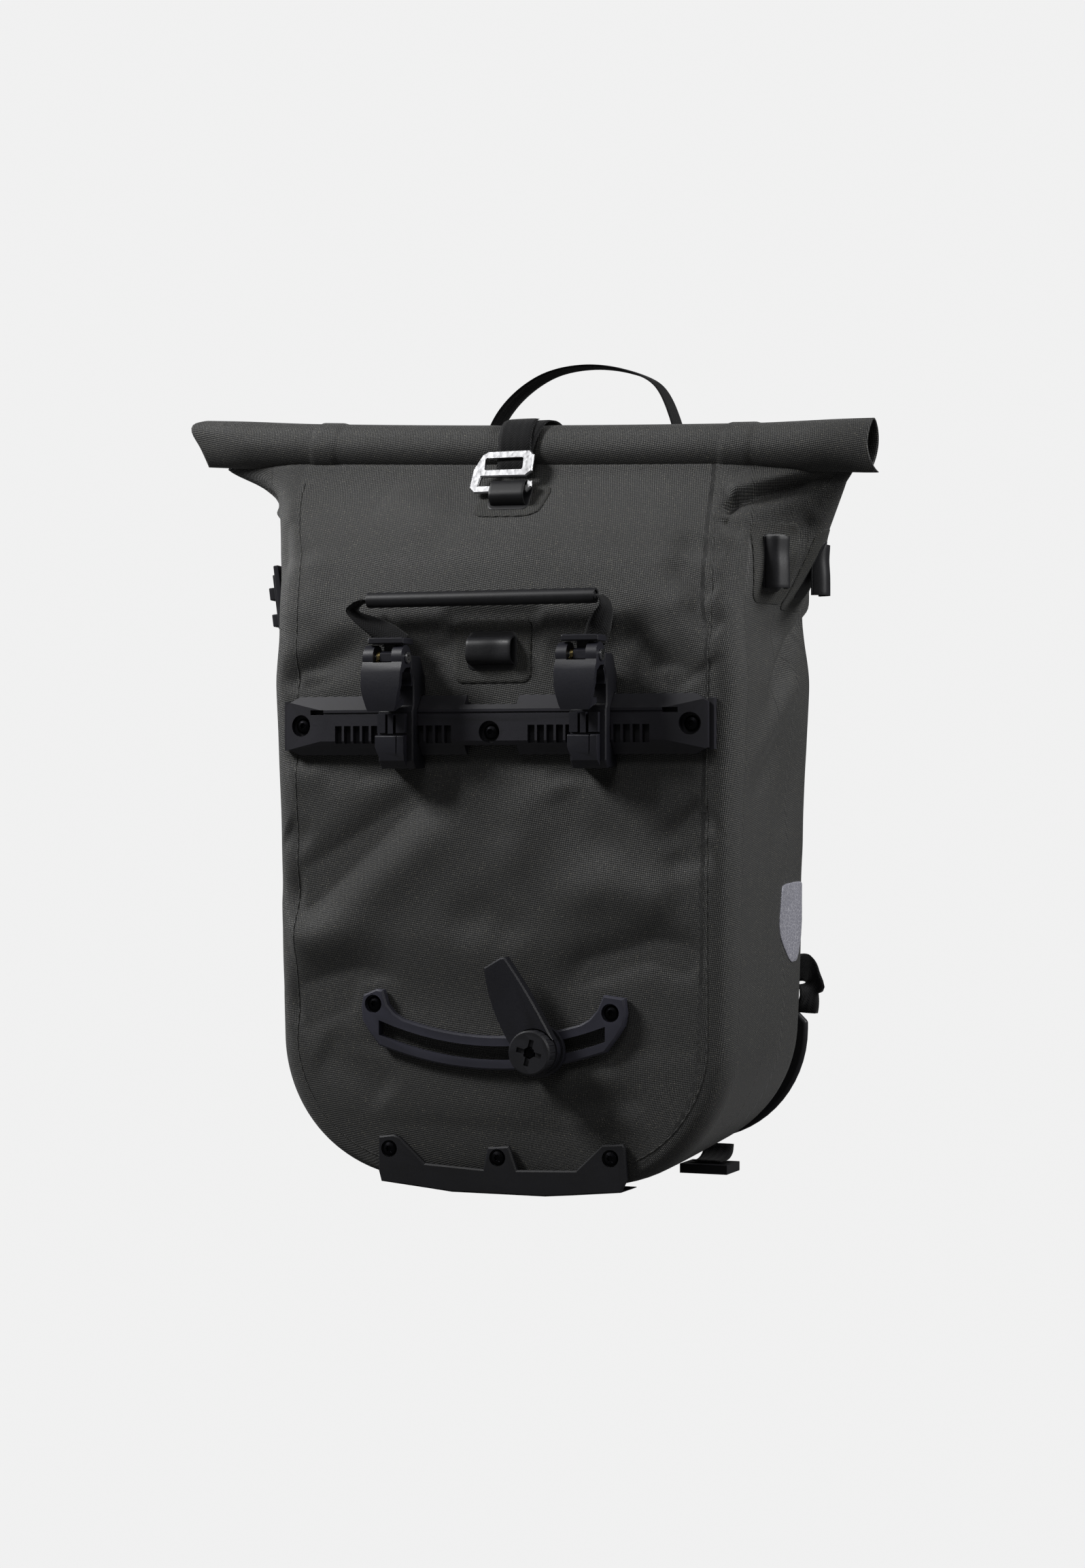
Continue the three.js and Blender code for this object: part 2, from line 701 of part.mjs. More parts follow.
put('lower_rail', lowerRail(), SLATE());
ARC_SCREWS.forEach(([x, z], i) => {
  put(`lower_rail_screw_${i + 1}`, screw(x, z, -6.6, 4), SCREW());
});

// ---------- swivelling foot ----------
const FOOT = { base: 17, hub: 15.2, back: -7.9, step: -12, front: -18, knobFace: -29.5, knobR: 14.2 };

function footSlider() {
  const lean = -Math.asin((KNOB.x - ARC.x) / ARC.r);
  const nut = plateShape(roundRect(0, 0, 18, 12.6, 2), -2.7, -0.7).rotateY(lean).translate(KNOB.x, 0, KNOB.z);
  const neck = barY(-7.5, -1.5, KNOB.x, KNOB.z, ARC.slot / 2 - 0.4, 16);
  const bore = barY(-9, 0, KNOB.x, KNOB.z, 2.6, 16);
  return cut(join(nut, neck), bore);
}

function footBolt() {
  const shank = barY(-26.4, -1, KNOB.x, KNOB.z, 2.3, 16);
  const head = barY(-27.4, -25, KNOB.x, KNOB.z, 3.4, 6);
  return join(shank, head);
}

// finger that grips behind a rack strut
function footFinger() {
  const [x, z] = [KNOB.x, KNOB.z];
  const base = barY(FOOT.step, FOOT.back, x, z, FOOT.base, 32);
  const hub = barY(FOOT.front, FOOT.step + 1, x, z, FOOT.hub, 32);
  const left = new THREE.QuadraticBezierCurve(
    new THREE.Vector2(x - 34.5, z + 53),
    new THREE.Vector2(x - 31.5, z + 26),
    new THREE.Vector2(x - 15, z + 2),
  ).getPoints(8);
  const right = new THREE.QuadraticBezierCurve(
    new THREE.Vector2(x + 13, z + 8),
    new THREE.Vector2(x - 2, z + 36),
    new THREE.Vector2(x - 20, z + 60),
  ).getPoints(8);
  const outline = [...left, ...right, new THREE.Vector2(x - 23, z + 59.8)].map((p) => [p.x, p.y]);
  const finger = plate(outline, FOOT.front - 3.4, FOOT.step - 0.4, 1);
  const seat = barY(FOOT.front - 10, FOOT.front, x, z, FOOT.knobR + 0.9, 32);
  const bore = barY(-40, 0, x, z, 2.8, 16);
  return cut(join(base, hub, finger), seat, bore);
}

function footKnob() {
  const [x, z] = [KNOB.x, KNOB.z];
  const [front, back] = [FOOT.knobFace, FOOT.front - 0.4];
  const body = barY(front + 1, back, x, z, FOOT.knobR, 48);
  const rim = barY(front, front + 1.01, x, z, FOOT.knobR - 1, 48, FOOT.knobR);
  const tools = [barY(front - 1, front + 4.4, x, z, 4.2, 6)];
  for (let i = 0; i < 4; i++) {
    const a = (i * Math.PI) / 2 + 0.25;
    const slot = box(-1.6, 1.6, front - 1, front + 1.8, 0, 8.6);
    tools.push(slot.rotateY(a).translate(x, 0, z));
  }
  for (let i = 0; i < 20; i++) {
    const a = (i / 20) * 2 * Math.PI;
    const reach = FOOT.knobR + 0.35;
    tools.push(barY(front + 1.6, back - 1, x + reach * Math.cos(a), z + reach * Math.sin(a), 0.8, 6));
  }
  tools.push(barY(front + 1, back + 1, x, z, 2.7, 16));
  tools.push(barY(front + 1.6, front + 5, x, z, 3.9, 16));
  return cut(join(body, rim), ...tools);
}

put('foot_slider', footSlider(), BLACK_PLASTIC());
put('foot_bolt', footBolt(), SCREW());
put('foot_finger', footFinger(), PLASTIC());
put('foot_knob', footKnob(), BLACK_PLASTIC());

// ---------- bottom edge protector ----------
function edgeProtector() {
  const { left, right, z, thick } = GUARD;
  const underside = [
    [left + 1.8, z + 4.8],
    [left + 36, z + 1.6],
    [-30, z],
    [35, z],
    [right - 36, z + 1.6],
    [right - 3, z + 4.8],
  ];
  const outline = [
    ...underside,
    [right + 1, 13.8],
    [right, 34],
    [right - 1.6, 36.5],
    [74.5, 35.4],
    [56.4, 18.2],
    [15.6, 16.7],
    [10, 31.9],
    [-4.6, 30.7],
    [-8, 16.3],
    [-49, 18.4],
    [-67, 34.6],
    [-71.6, 36.3],
    [left, 34.8],
    [left, 12],
  ];
  const front = plate(outline, -thick, RAIL_BACK, 1);
  const lip = plate([...underside, [right - 3, 5.9], [left + 1.8, 5.9]], -thick + 1.2, GUARD.under);
  const recess = GUARD_SCREWS.map(([x, zz]) => barY(-thick - 1, -2.6, x, zz, 5.6, 24));
  const holes = GUARD_SCREWS.map(([x, zz]) => barY(-thick - 1, 1, x, zz, SHANK_R + 0.4, 16));
  return cut(join(front, lip), ...recess, ...holes);
}

put('edge_protector', edgeProtector(), BLACK_PLASTIC());
GUARD_SCREWS.forEach(([x, z], i) => {
  put(`protector_screw_${i + 1}`, screw(x, z, -5.4, -0.7, 4.8), SCREW());
});

// ---------- closure: strap over the roll, metal hook, anchor loop ----------
function closureStrap() {
  const r = ROLL.r + WEB_THICK / 2 + 0.9;
  const points = [[LOOP.x, ROLL.y + r + 1.5, 484]];
  for (let a = 0; a <= 205; a += 20) {
    const t = THREE.MathUtils.degToRad(a);
    points.push([LOOP.x, ROLL.y + r * Math.cos(t), ROLL.z + r * Math.sin(t)]);
  }
  points.push([LOOP.x, ROLL.y - r + 0.7, 480]);
  points.push([LOOP.x, ROLL.y - r - 1.4, 472.5]);
  return strap(points, [1, 0, 0], WEB, WEB_THICK, 30);
}

// hook plate, drawn upright and leaned back onto the bag
const HOOK_PLATE = { thick: 3, lean: -0.3, y: 33.5, z: 477 };

function leaned(g) {
  return g.translate(0, 0, -HOOK_PLATE.z).rotateX(HOOK_PLATE.lean).translate(0, HOOK_PLATE.y, HOOK_PLATE.z);
}

function closureHook() {
  const outline = [
    [-20, 486],
    [9.5, 486],
    [12.6, 482.6],
    [12.4, 471],
    [8, 467.4],
    [-23, 467.8],
    [-24.6, 461.6],
    [9.2, 461.6],
    [10, 465],
    [13, 464],
    [13.4, 460],
    [10, 456.4],
    [-27.4, 456.4],
    [-31, 460],
    [-29.6, 473],
    [-24, 483.5],
  ];
  const half = HOOK_PLATE.thick / 2;
  const blank = plate(outline, -half, half, 0.8);
  const slot = plateShape(roundRect(-8, 476.6, 27, 8.6, 1.4), -half - 1, half + 1);
  return leaned(cut(blank, slot));
}

// a flat loop standing off its base: a D-shaped sleeve along X, `deep` off the base
function tunnel(length, tall, deep, wall) {
  const outer = new THREE.Shape();
  const h = tall / 2;
  outer.moveTo(0.3, -h);
  outer.lineTo(-deep * 0.55, -h * 0.72);
  outer.quadraticCurveTo(-deep, -h * 0.55, -deep, 0);
  outer.quadraticCurveTo(-deep, h * 0.55, -deep * 0.55, h * 0.72);
  outer.lineTo(0.3, h);
  outer.lineTo(0.3, -h);
  const inner = new THREE.Shape();
  const k = h - wall * 1.6;
  inner.moveTo(-wall, -k * 0.8);
  inner.quadraticCurveTo(-deep + wall, -k * 0.7, -deep + wall, 0);
  inner.quadraticCurveTo(-deep + wall, k * 0.7, -wall, k * 0.8);
  inner.lineTo(-wall, -k * 0.8);
  const body = new THREE.ExtrudeGeometry(outer, { depth: length, bevelEnabled: false, curveSegments: 6 });
  const hollow = new THREE.ExtrudeGeometry(inner, { depth: length + 2, bevelEnabled: false, curveSegments: 6 });
  hollow.translate(0, 0, -1);
  const place = (g, l) => g.rotateX(Math.PI / 2).rotateZ(Math.PI / 2).translate(-l / 2, 0, 0);
  return cut(place(body, length), place(hollow, length));
}

const LOOP_LEAN = -0.5; // slope of the upper front at the closure

function closureLoop() {
  return tunnel(24.5, 19, 9.5, 1.4).rotateX(LOOP_LEAN).translate(LOOP.x, 30.6, LOOP.z + 1.3);
}

function closurePatch() {
  const outline = [[-28, -14], [20, -14], [27, 13], [-20, 13]];
  return plate(outline, -0.5, 0.5).rotateX(LOOP_LEAN).translate(-1, 29.9, 452.6);
}

put('closure_strap', closureStrap(), WEBBING());
put('closure_hook', closureHook(), METAL());
put('closure_loop', closureLoop(), RUBBER());
put('closure_patch', closurePatch(), FABRIC());

// ---------- gear loops ----------
const FRONT_LOOP = { x: -3, z: 352.5 };

put('gear_patch_front', plateShape(roundRect(FRONT_LOOP.x, FRONT_LOOP.z, 54, 42, 6), -1.5, -0.5), FABRIC());
put('gear_loop_front', tunnel(31, 22, 9.6, 1.5).translate(FRONT_LOOP.x, -2.2, FRONT_LOOP.z), RUBBER());

// side loops stand upright on the folded-out gusset; turn is their heading about Z
const SIDE_LOOPS = [
  { name: 'side_front', x: 170.5, y: 47.5, z: 408, turn: 1.02 },
  { name: 'side_rear', x: 190, y: 86, z: 405, turn: Math.PI / 2 },
];
SIDE_LOOPS.forEach(({ name, x, y, z, turn }) => {
  const out = new THREE.Vector3(Math.sin(turn), -Math.cos(turn), 0);
  const at = new THREE.Vector3(x, y, z).addScaledVector(out, 5);
  const loop = tunnel(34, 24, 8, 1.5).rotateY(-Math.PI / 2).translate(0, -1.6, 0).rotateZ(turn);
  put(`gear_loop_${name}`, loop.translate(at.x, at.y, at.z), RUBBER());
});

// ---------- side pieces ----------
// plate with two lugs for a shoulder strap, on the left front gusset
function lugPlate() {
  const base = box(-3.6, 0, -13, 13, -25, 25);
  const step = box(-5.4, -3, -11, 11, -18, 19);
  const lugs = [-11.5, 6.5].map((z) => box(-9.5, -3, -9, 9, z - 4.2, z + 4.2));
  return join(base, step, ...lugs).rotateY(-0.12).rotateZ(0.2).translate(-169.2, 38, 389);
}

function reflector(side) {
  const outline = [[-31, 23], [-22, 25], [29, 26], [31, 8], [12, -27], [-6, -28], [-31, -6]];
  const g = plate(outline.map(([y, z]) => [side * y, z]), -0.8, 0, 0);
  return g.rotateZ(side * Math.PI / 2).translate(side * (160.4 + 0.5), 126, 175);
}

put('lug_plate', lugPlate(), PLASTIC());
put('reflector_right', reflector(1), REFLECTIVE());
put('reflector_left', reflector(-1), REFLECTIVE());

// ---------- grab handle behind the roll ----------
function grabHandle() {
  return strap([
    [-40, 90, 481],
    [-37, 88, 505],
    [-22, 88, 526],
    [2, 88, 541],
    [30, 88, 545.5],
    [58, 88, 541.5],
    [80, 88, 531],
    [92, 88, 508],
    [97, 90, 481],
  ], [0, 1, 0], WEB, 2.2, 32);
}
put('grab_handle', grabHandle(), WEBBING());

// ---------- harness side ----------
const BACK = DEPTH + 0.4;
const PAD = { half: 118, low: 100, high: 372, thick: 11 };
const STRAP = { y0: BACK + PAD.thick + 0.4, thick: 10 };

function backPad() {
  const outline = roundRect(0, (PAD.low + PAD.high) / 2, 2 * PAD.half, PAD.high - PAD.low, 34);
  return plateShape(outline, BACK, BACK + PAD.thick, 3, 5);
}

// padded shoulder strap, narrow at the top and curving outwards downwards
function shoulderStrap(side) {
  const line = [[30, 366], [46, 330], [66, 285], [80, 240], [85, 200], [86, 168]];
  const width = [50, 56, 60, 58, 50, 38];
  const left = [];
  const right = [];
  line.forEach(([x, z], i) => {
    left.push(new THREE.Vector2(x - width[i] / 2, z));
    right.push(new THREE.Vector2(x + width[i] / 2, z));
  });
  const smooth = (points) => new THREE.SplineCurve(points).getPoints(14);
  const outline = [...smooth(left), ...smooth(right).reverse()].map((p) => [side * p.x, p.y]);
  return plate(outline, STRAP.y0, STRAP.y0 + STRAP.thick, 2.5);
}

// ladder-lock buckle at the lower end of a shoulder strap
function strapAdjuster(side) {
  const frame = plateShape(roundRect(side * 86, 150, 34, 28, 4), STRAP.y0 + 1, STRAP.y0 + 6, 1, 3);
  const slots = [144, 155].map((z) => box(side * 86 - 12.8, side * 86 + 12.8, 170, 210, z - 2.4, z + 2.4));
  return cut(frame, ...slots);
}

function lowerWebbing(side) {
  return strap([
    [side * 86, STRAP.y0 + 3, 123],
    [side * 112, STRAP.y0 + 3.2, 127],
    [side * 134, STRAP.y0 + 1.7, 136],
    [side * 150, STRAP.y0 - 5, 141],
    [side * 160, STRAP.y0 - 19, 136],
    [side * 161, STRAP.y0 - 26, 124],
    [side * 154, STRAP.y0 - 17, 110],
  ], [0, 0.12, 1], 20, 1.8, 24);
}

put('back_pad', backPad(), FOAM());
[['left', -1], ['right', 1]].forEach(([name, side]) => {
  put(`shoulder_strap_${name}`, shoulderStrap(side), FOAM());
  put(`strap_adjuster_${name}`, strapAdjuster(side), BLACK_PLASTIC());
});

// stiff lower back frame, rounded like the bottom of the bag
const FRAME = { half: 156, low: 21, high: 112, r: 78, thick: 6 };

function backFrame() {
  const { half, low, high, r, thick } = FRAME;
  const s = new THREE.Shape();
  s.moveTo(-half + r, low);
  s.lineTo(half - r, low);
  s.absarc(half - r, low + r, r, -Math.PI / 2, 0, false);
  s.lineTo(half, high - 8);
  s.lineTo(half - 8, high);
  s.lineTo(PAD.half + 10, high);
  s.lineTo(PAD.half + 2, PAD.low - 2);
  s.lineTo(-PAD.half - 2, PAD.low - 2);
  s.lineTo(-PAD.half - 10, high);
  s.lineTo(-half + 8, high);
  s.lineTo(-half, high - 8);
  s.lineTo(-half, low + r);
  s.absarc(-half + r, low + r, r, Math.PI, 1.5 * Math.PI, false);
  return plateShape(s, BACK, BACK + thick, 1.6, 8);
}

const BOTTOM_X = 92;

// buckle under the bag, which the bag also stands on
function bottomBuckle(side) {
  const x = side * BOTTOM_X;
  const frame = box(x - 17, x + 17, 146, 174, GUARD.z, GUARD.z + 6.4);
  return cut(frame, ...[155, 165].map((y) => box(x - 12.8, x + 12.8, y - 2.4, y + 2.4, -5, 20)));
}

// webbing tab from the back frame down to the buckle
function bottomTab(side) {
  const x = side * BOTTOM_X;
  return strap([[x, 179.5, 18], [x, 177, 12], [x, 168, 8.6], [x, 154, 8.4]], [1, 0, 0], 22, 1.6, 8);
}
put('back_frame', backFrame(), BLACK_PLASTIC());
put('bottom_buckle_left', bottomBuckle(-1), BLACK_PLASTIC());
put('bottom_buckle_right', bottomBuckle(1), BLACK_PLASTIC());
put('bottom_tab_left', bottomTab(-1), WEBBING());
put('bottom_tab_right', bottomTab(1), WEBBING());
put('lower_webbing_left', lowerWebbing(-1), WEBBING());
put('lower_webbing_right', lowerWebbing(1), WEBBING());

// origin at the middle of the footprint, on the surface the bag stands on
const bounds = new THREE.Box3().setFromObject(bag);
const centre = bounds.getCenter(new THREE.Vector3());
bag.position.set(-centre.x, -centre.y, -bounds.min.z);

export default bag;
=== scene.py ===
"""Looks of the roll-top pannier bag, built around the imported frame."""
import json
import math

import bpy
import numpy as np
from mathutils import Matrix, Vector
from mathutils.bvhtree import BVHTree


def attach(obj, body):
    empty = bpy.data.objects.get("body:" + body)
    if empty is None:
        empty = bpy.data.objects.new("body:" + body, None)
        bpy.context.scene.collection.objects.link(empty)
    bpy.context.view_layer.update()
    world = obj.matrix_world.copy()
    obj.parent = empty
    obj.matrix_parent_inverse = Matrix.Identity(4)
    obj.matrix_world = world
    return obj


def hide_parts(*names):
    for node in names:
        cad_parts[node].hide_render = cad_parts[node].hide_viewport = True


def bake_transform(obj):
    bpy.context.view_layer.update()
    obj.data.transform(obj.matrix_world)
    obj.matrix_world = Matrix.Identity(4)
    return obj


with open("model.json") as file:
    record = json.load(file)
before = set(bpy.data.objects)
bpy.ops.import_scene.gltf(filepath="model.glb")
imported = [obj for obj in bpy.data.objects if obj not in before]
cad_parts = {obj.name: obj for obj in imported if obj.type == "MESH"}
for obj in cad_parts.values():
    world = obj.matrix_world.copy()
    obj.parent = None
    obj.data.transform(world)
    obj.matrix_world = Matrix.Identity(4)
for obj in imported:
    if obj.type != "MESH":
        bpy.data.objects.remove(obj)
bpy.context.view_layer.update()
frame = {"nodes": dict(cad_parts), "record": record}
NODES = frame["nodes"]

# The drawing of the bag is in millimetres, x across the front panel, y from the front panel
# to the harness side, z up. SHIFT moves it to the frame's origin.
SHIFT = np.array([2.0, -77.6, -0.6])


def to_frame(points):
    return (np.asarray(points, float) + SHIFT) / 1000.0


def smoothstep(x, a, b):
    t = np.clip((np.asarray(x, float) - a) / (b - a), 0, 1)
    return t * t * (3 - 2 * t)


def lerp(a, b, t):
    return a + (b - a) * t


# ---------------------------------------------------------------- camera
CAMERA_AT = (779.2, -1897.1, 266.0)
CAMERA_HEADING = 21.5
LONG_SENSOR = 36.0
FOCAL = 4653.5 * LONG_SENSOR / 2307

camera_data = bpy.data.cameras.new("camera")
camera = bpy.data.objects.new("camera", camera_data)
bpy.context.scene.collection.objects.link(camera)
camera.location = Vector(to_frame(CAMERA_AT))
camera.rotation_euler = (math.radians(90), 0, math.radians(CAMERA_HEADING))
camera_data.sensor_fit = "AUTO"
camera_data.sensor_width = LONG_SENSOR
camera_data.lens = FOCAL
camera_data.clip_start = 0.05
camera_data.clip_end = 50
bpy.context.scene.camera = camera


# ---------------------------------------------------------------- node helpers
class Nodes:
    """A short way to wire a material's nodes."""

    def __init__(self, name):
        self.material = bpy.data.materials.new(name)
        self.material.use_nodes = True
        self.tree = self.material.node_tree
        self.tree.nodes.clear()
        self.shader = self.tree.nodes.new("ShaderNodeBsdfPrincipled")
        self.out = self.tree.nodes.new("ShaderNodeOutputMaterial")
        self.link(self.shader.outputs[0], self.out.inputs["Surface"])

    def link(self, a, b):
        self.tree.links.new(a, b)

    def put(self, socket, value):
        if hasattr(value, "is_output"):
            self.link(value, socket)
        else:
            socket.default_value = value

    def math(self, operation, a, b=0.0, c=0.0, clamp=False):
        node = self.tree.nodes.new("ShaderNodeMath")
        node.operation = operation
        node.use_clamp = clamp
        for socket, value in zip(node.inputs, (a, b, c)):
            self.put(socket, value)
        return node.outputs[0]

    def coords(self, kind="Object"):
        return self.tree.nodes.new("ShaderNodeTexCoord").outputs[kind]

    def scaled(self, vector, scale, turn=0.0):
        node = self.tree.nodes.new("ShaderNodeMapping")
        self.link(vector, node.inputs["Vector"])
        node.inputs["Scale"].default_value = scale if hasattr(scale, "__len__") else (scale,) * 3
        node.inputs["Rotation"].default_value = (0, 0, turn)
        return node.outputs[0]

    def split(self, vector):
        node = self.tree.nodes.new("ShaderNodeSeparateXYZ")
        self.link(vector, node.inputs[0])
        return node.outputs

    def noise(self, vector, scale, detail=3.0, rough=0.5):
        node = self.tree.nodes.new("ShaderNodeTexNoise")
        self.link(vector, node.inputs["Vector"])
        node.inputs["Scale"].default_value = scale
        node.inputs["Detail"].default_value = detail
        node.inputs["Roughness"].default_value = rough
        return node.outputs["Fac"]

    def voronoi(self, vector, scale, feature="F1"):
        node = self.tree.nodes.new("ShaderNodeTexVoronoi")
        node.feature = feature
        self.link(vector, node.inputs["Vector"])
        node.inputs["Scale"].default_value = scale
        return node.outputs["Distance"]

    def span(self, value, a, b, c=0.0, d=1.0, smooth=False):
        node = self.tree.nodes.new("ShaderNodeMapRange")
        node.interpolation_type = "SMOOTHSTEP" if smooth else "LINEAR"
        for socket, x in zip(node.inputs, (value, a, b, c, d)):
            self.put(socket, x)
        return node.outputs[0]

    def mix(self, share, a, b):
        node = self.tree.nodes.new("ShaderNodeMix")
        node.data_type = "RGBA"
        node.blend_type = "MIX"
        for socket, x in zip((node.inputs[0], node.inputs[6], node.inputs[7]), (share, a, b)):
            self.put(socket, x)
        return node.outputs[2]

    def bump(self, height, distance, strength=1.0):
        node = self.tree.nodes.new("ShaderNodeBump")
        self.link(height, node.inputs["Height"])
        node.inputs["Distance"].default_value = distance
        node.inputs["Strength"].default_value = strength
        return node.outputs[0]

    def edges(self, radius):
        """1 on sharp outer edges, 0 on flats."""
        node = self.tree.nodes.new("ShaderNodeNewGeometry")
        return self.span(node.outputs["Pointiness"], 0.5 + radius, 0.5 + 3 * radius)

    def finish(self, color, roughness, normal=None, **fixed):
        self.put(self.shader.inputs["Base Color"], color)
        self.put(self.shader.inputs["Roughness"], roughness)
        if normal is not None:
            self.link(normal, self.shader.inputs["Normal"])
        for name, value in fixed.items():
            self.shader.inputs[name.replace("_", " ")].default_value = value
        return self.material


def srgb(r, g, b):
    def lin(v):
        v /= 255
        return v / 12.92 if v <= 0.04045 else ((v + 0.055) / 1.055) ** 2.4
    return (lin(r), lin(g), lin(b), 1.0)


# ---------------------------------------------------------------- materials
WEAVE = 1.7  # mm from thread to thread
CLOTH_ROUGHNESS, CLOTH_RELIEF, CLOTH_TURN = 0.52, 0.3e-3, 0.62
# the last of these sets how strongly the plastics' sharp outer edges are painted paler, a painted highlight
GRAIN_SCALE, GRAIN_RELIEF, PAINTED_EDGE_HIGHLIGHT = 2600.0, 0.03e-3, 0.35
PICK_PITCH, STRAP_RIBS, STRAP_WIDTH, STRAP_ROUGHNESS = 1.9, 5.0, 25.0, 0.8
RUBBER_ROUGHNESS = 0.48
MM = 1000.0  # UVs and object coordinates are in metres


def coated_cloth(name, dark, light, speck):
    """Coated plain weave: small raised crossings, soft mottling, pale specks on the crowns. Its colour
    follows the weave's height: a painted highlight on the crowns and painted shade in the hollows.
    """
    n = Nodes(name)
    uv = n.coords("UV")
    obj = n.coords("Object")
    u, v, _ = n.split(n.scaled(uv, MM, CLOTH_TURN))
    wave = 2 * math.pi / WEAVE
    crossing = n.math("MULTIPLY", n.math("SINE", n.math("MULTIPLY", u, wave)),
                      n.math("SINE", n.math("MULTIPLY", v, wave)))
    crown = n.math("MULTIPLY_ADD", crossing, 0.5, 0.5)
    patchy = n.noise(obj, 9.0, 3.0)
    fuzz = n.noise(obj, 900.0, 2.0)
    specks = n.math("GREATER_THAN", n.noise(obj, 1700.0, 1.0), 0.68)
    # painted light: the weave is painted light on its crowns and dark in its hollows, a painted highlight and
    # painted shade of its own relief
    share = n.math("MULTIPLY_ADD", n.math("POWER", crown, 1.5), 0.95,
                   n.math("MULTIPLY_ADD", fuzz, 0.5, -0.15), clamp=True)
    base = n.mix(share, dark, light)
    base = n.mix(n.span(patchy, 0.35, 0.7, 0.0, 0.28), base, dark)
    base = n.mix(n.math("MULTIPLY", specks, n.math("MULTIPLY", crown, 0.55)), base, speck)
    rough = n.math("ADD", n.span(crown, 0, 1, CLOTH_ROUGHNESS + 0.1, CLOTH_ROUGHNESS - 0.05),
                   n.span(patchy, 0.3, 0.7, -0.04, 0.04))
    height = n.math("ADD", crown, n.math("MULTIPLY", fuzz, 0.25))
    return n.finish(base, rough, n.bump(height, CLOTH_RELIEF), Specular_IOR_Level=0.42,
                    Sheen_Weight=0.12, Sheen_Roughness=0.5)


def moulded_plastic(name, dark, light, roughness=0.5):
    """Spark-eroded moulded plastic: fine grain, faint flow marks, and paler outer edges that are a painted
    highlight.
    """
    n = Nodes(name)
    obj = n.coords("Object")
    fine = n.noise(obj, GRAIN_SCALE, 2.0, 0.6)
    cloud = n.noise(obj, 28.0, 4.0, 0.6)
    scuffs = n.noise(n.scaled(obj, (140.0, 140.0, 900.0)), 1.0, 3.0, 0.7)
    base = n.mix(n.span(cloud, 0.3, 0.75), dark, light)
    # painted highlight: sharp outer edges are painted paler, standing in for the light their rounded edges
    # catch
    edge_highlight_share = n.math("MULTIPLY", n.edges(0.02), PAINTED_EDGE_HIGHLIGHT)
    base = n.mix(edge_highlight_share, base, tuple(min(1.0, 2.2 * c) for c in light[:3]) + (1.0,))
    rough = n.math("ADD", n.span(fine, 0.3, 0.7, roughness - 0.07, roughness + 0.07),
                   n.span(scuffs, 0.55, 0.75, 0.0, -0.08))
    return n.finish(base, rough, n.bump(fine, GRAIN_RELIEF), Specular_IOR_Level=0.5)


def woven_strap(name, dark, light):
    """Narrow webbing: herringbone picks across, ribs along."""
    n = Nodes(name)
    u, v, _ = n.split(n.scaled(n.coords("UV"), MM))
    slant = n.math("ABSOLUTE", n.math("PINGPONG", u, STRAP_WIDTH / STRAP_RIBS / 2))
    pick = n.math("SINE", n.math("MULTIPLY", n.math("ADD", v, slant), 2 * math.pi / PICK_PITCH))
    rib = n.math("SINE", n.math("MULTIPLY", u, 2 * math.pi * STRAP_RIBS / STRAP_WIDTH))
    thread = n.math("SINE", n.math("MULTIPLY", u, 2 * math.pi / 0.9))
    fuzz = n.noise(n.coords("Object"), 1500.0, 2.0)
    height = n.math("MULTIPLY_ADD", pick, 0.5,
                    n.math("MULTIPLY_ADD", rib, 0.5, n.math("MULTIPLY", thread, 0.2)))
    # painted light: the raised picks are painted a little lighter than the grooves between them, over a
    # random fibre tone
    share = n.math("MULTIPLY_ADD", pick, 0.3, n.math("MULTIPLY", fuzz, 0.9), clamp=True)
    base = n.mix(share, dark, light)
    return n.finish(base, STRAP_ROUGHNESS, n.bump(height, 0.14e-3), Sheen_Weight=0.08, Sheen_Roughness=0.4,
                    Specular_IOR_Level=0.3)


def coated_rubber(name, dark, light):
    n = Nodes(name)
    obj = n.coords("Object")
    fine = n.noise(obj, 1300.0, 3.0)
    cloud = n.noise(obj, 60.0, 3.0)
    base = n.mix(n.span(cloud, 0.3, 0.7), dark, light)
    return n.finish(base, n.span(fine, 0.3, 0.7, RUBBER_ROUGHNESS - 0.06, RUBBER_ROUGHNESS + 0.08),
                    n.bump(fine, 0.02e-3), Specular_IOR_Level=0.5)


def metal(name, dark, light, roughness=0.25, hammer=260.0, depth=0.12e-3):
    """Die-cast metal with a faint hammered relief and fine scratches."""
    n = Nodes(name)
    obj = n.coords("Object")
    dimple = n.voronoi(obj, hammer)
    scratch = n.noise(n.scaled(obj, (1500.0, 1500.0, 90.0)), 1.0, 3.0)
    base = n.mix(n.noise(obj, 80.0, 3.0), dark, light)
    rough = n.span(scratch, 0.3, 0.7, roughness - 0.06, roughness + 0.12)
    return n.finish(base, rough, n.bump(dimple, depth, 0.8), Metallic=1.0)


def mesh_foam(name, dark, light):
    """Air-mesh spacer cloth: round pores in a hexagonal net, the pores painted dark as the shade inside them.
    """
    n = Nodes(name)
    uv = n.coords("UV")
    pores = n.voronoi(n.scaled(uv, MM), 0.42)
    open_pore = n.span(pores, 0.15, 0.42, 0.0, 1.0, True)
    fuzz = n.noise(n.coords("Object"), 1200.0, 2.0)
    # painted shade: the pores of the net are painted dark
    base = n.mix(open_pore, dark, light)
    base = n.mix(n.math("MULTIPLY", fuzz, 0.35), base, dark)
    return n.finish(base, n.span(open_pore, 0, 1, 0.95, 0.82), n.bump(open_pore, 0.5e-3),
                    Sheen_Weight=0.1, Specular_IOR_Level=0.25)


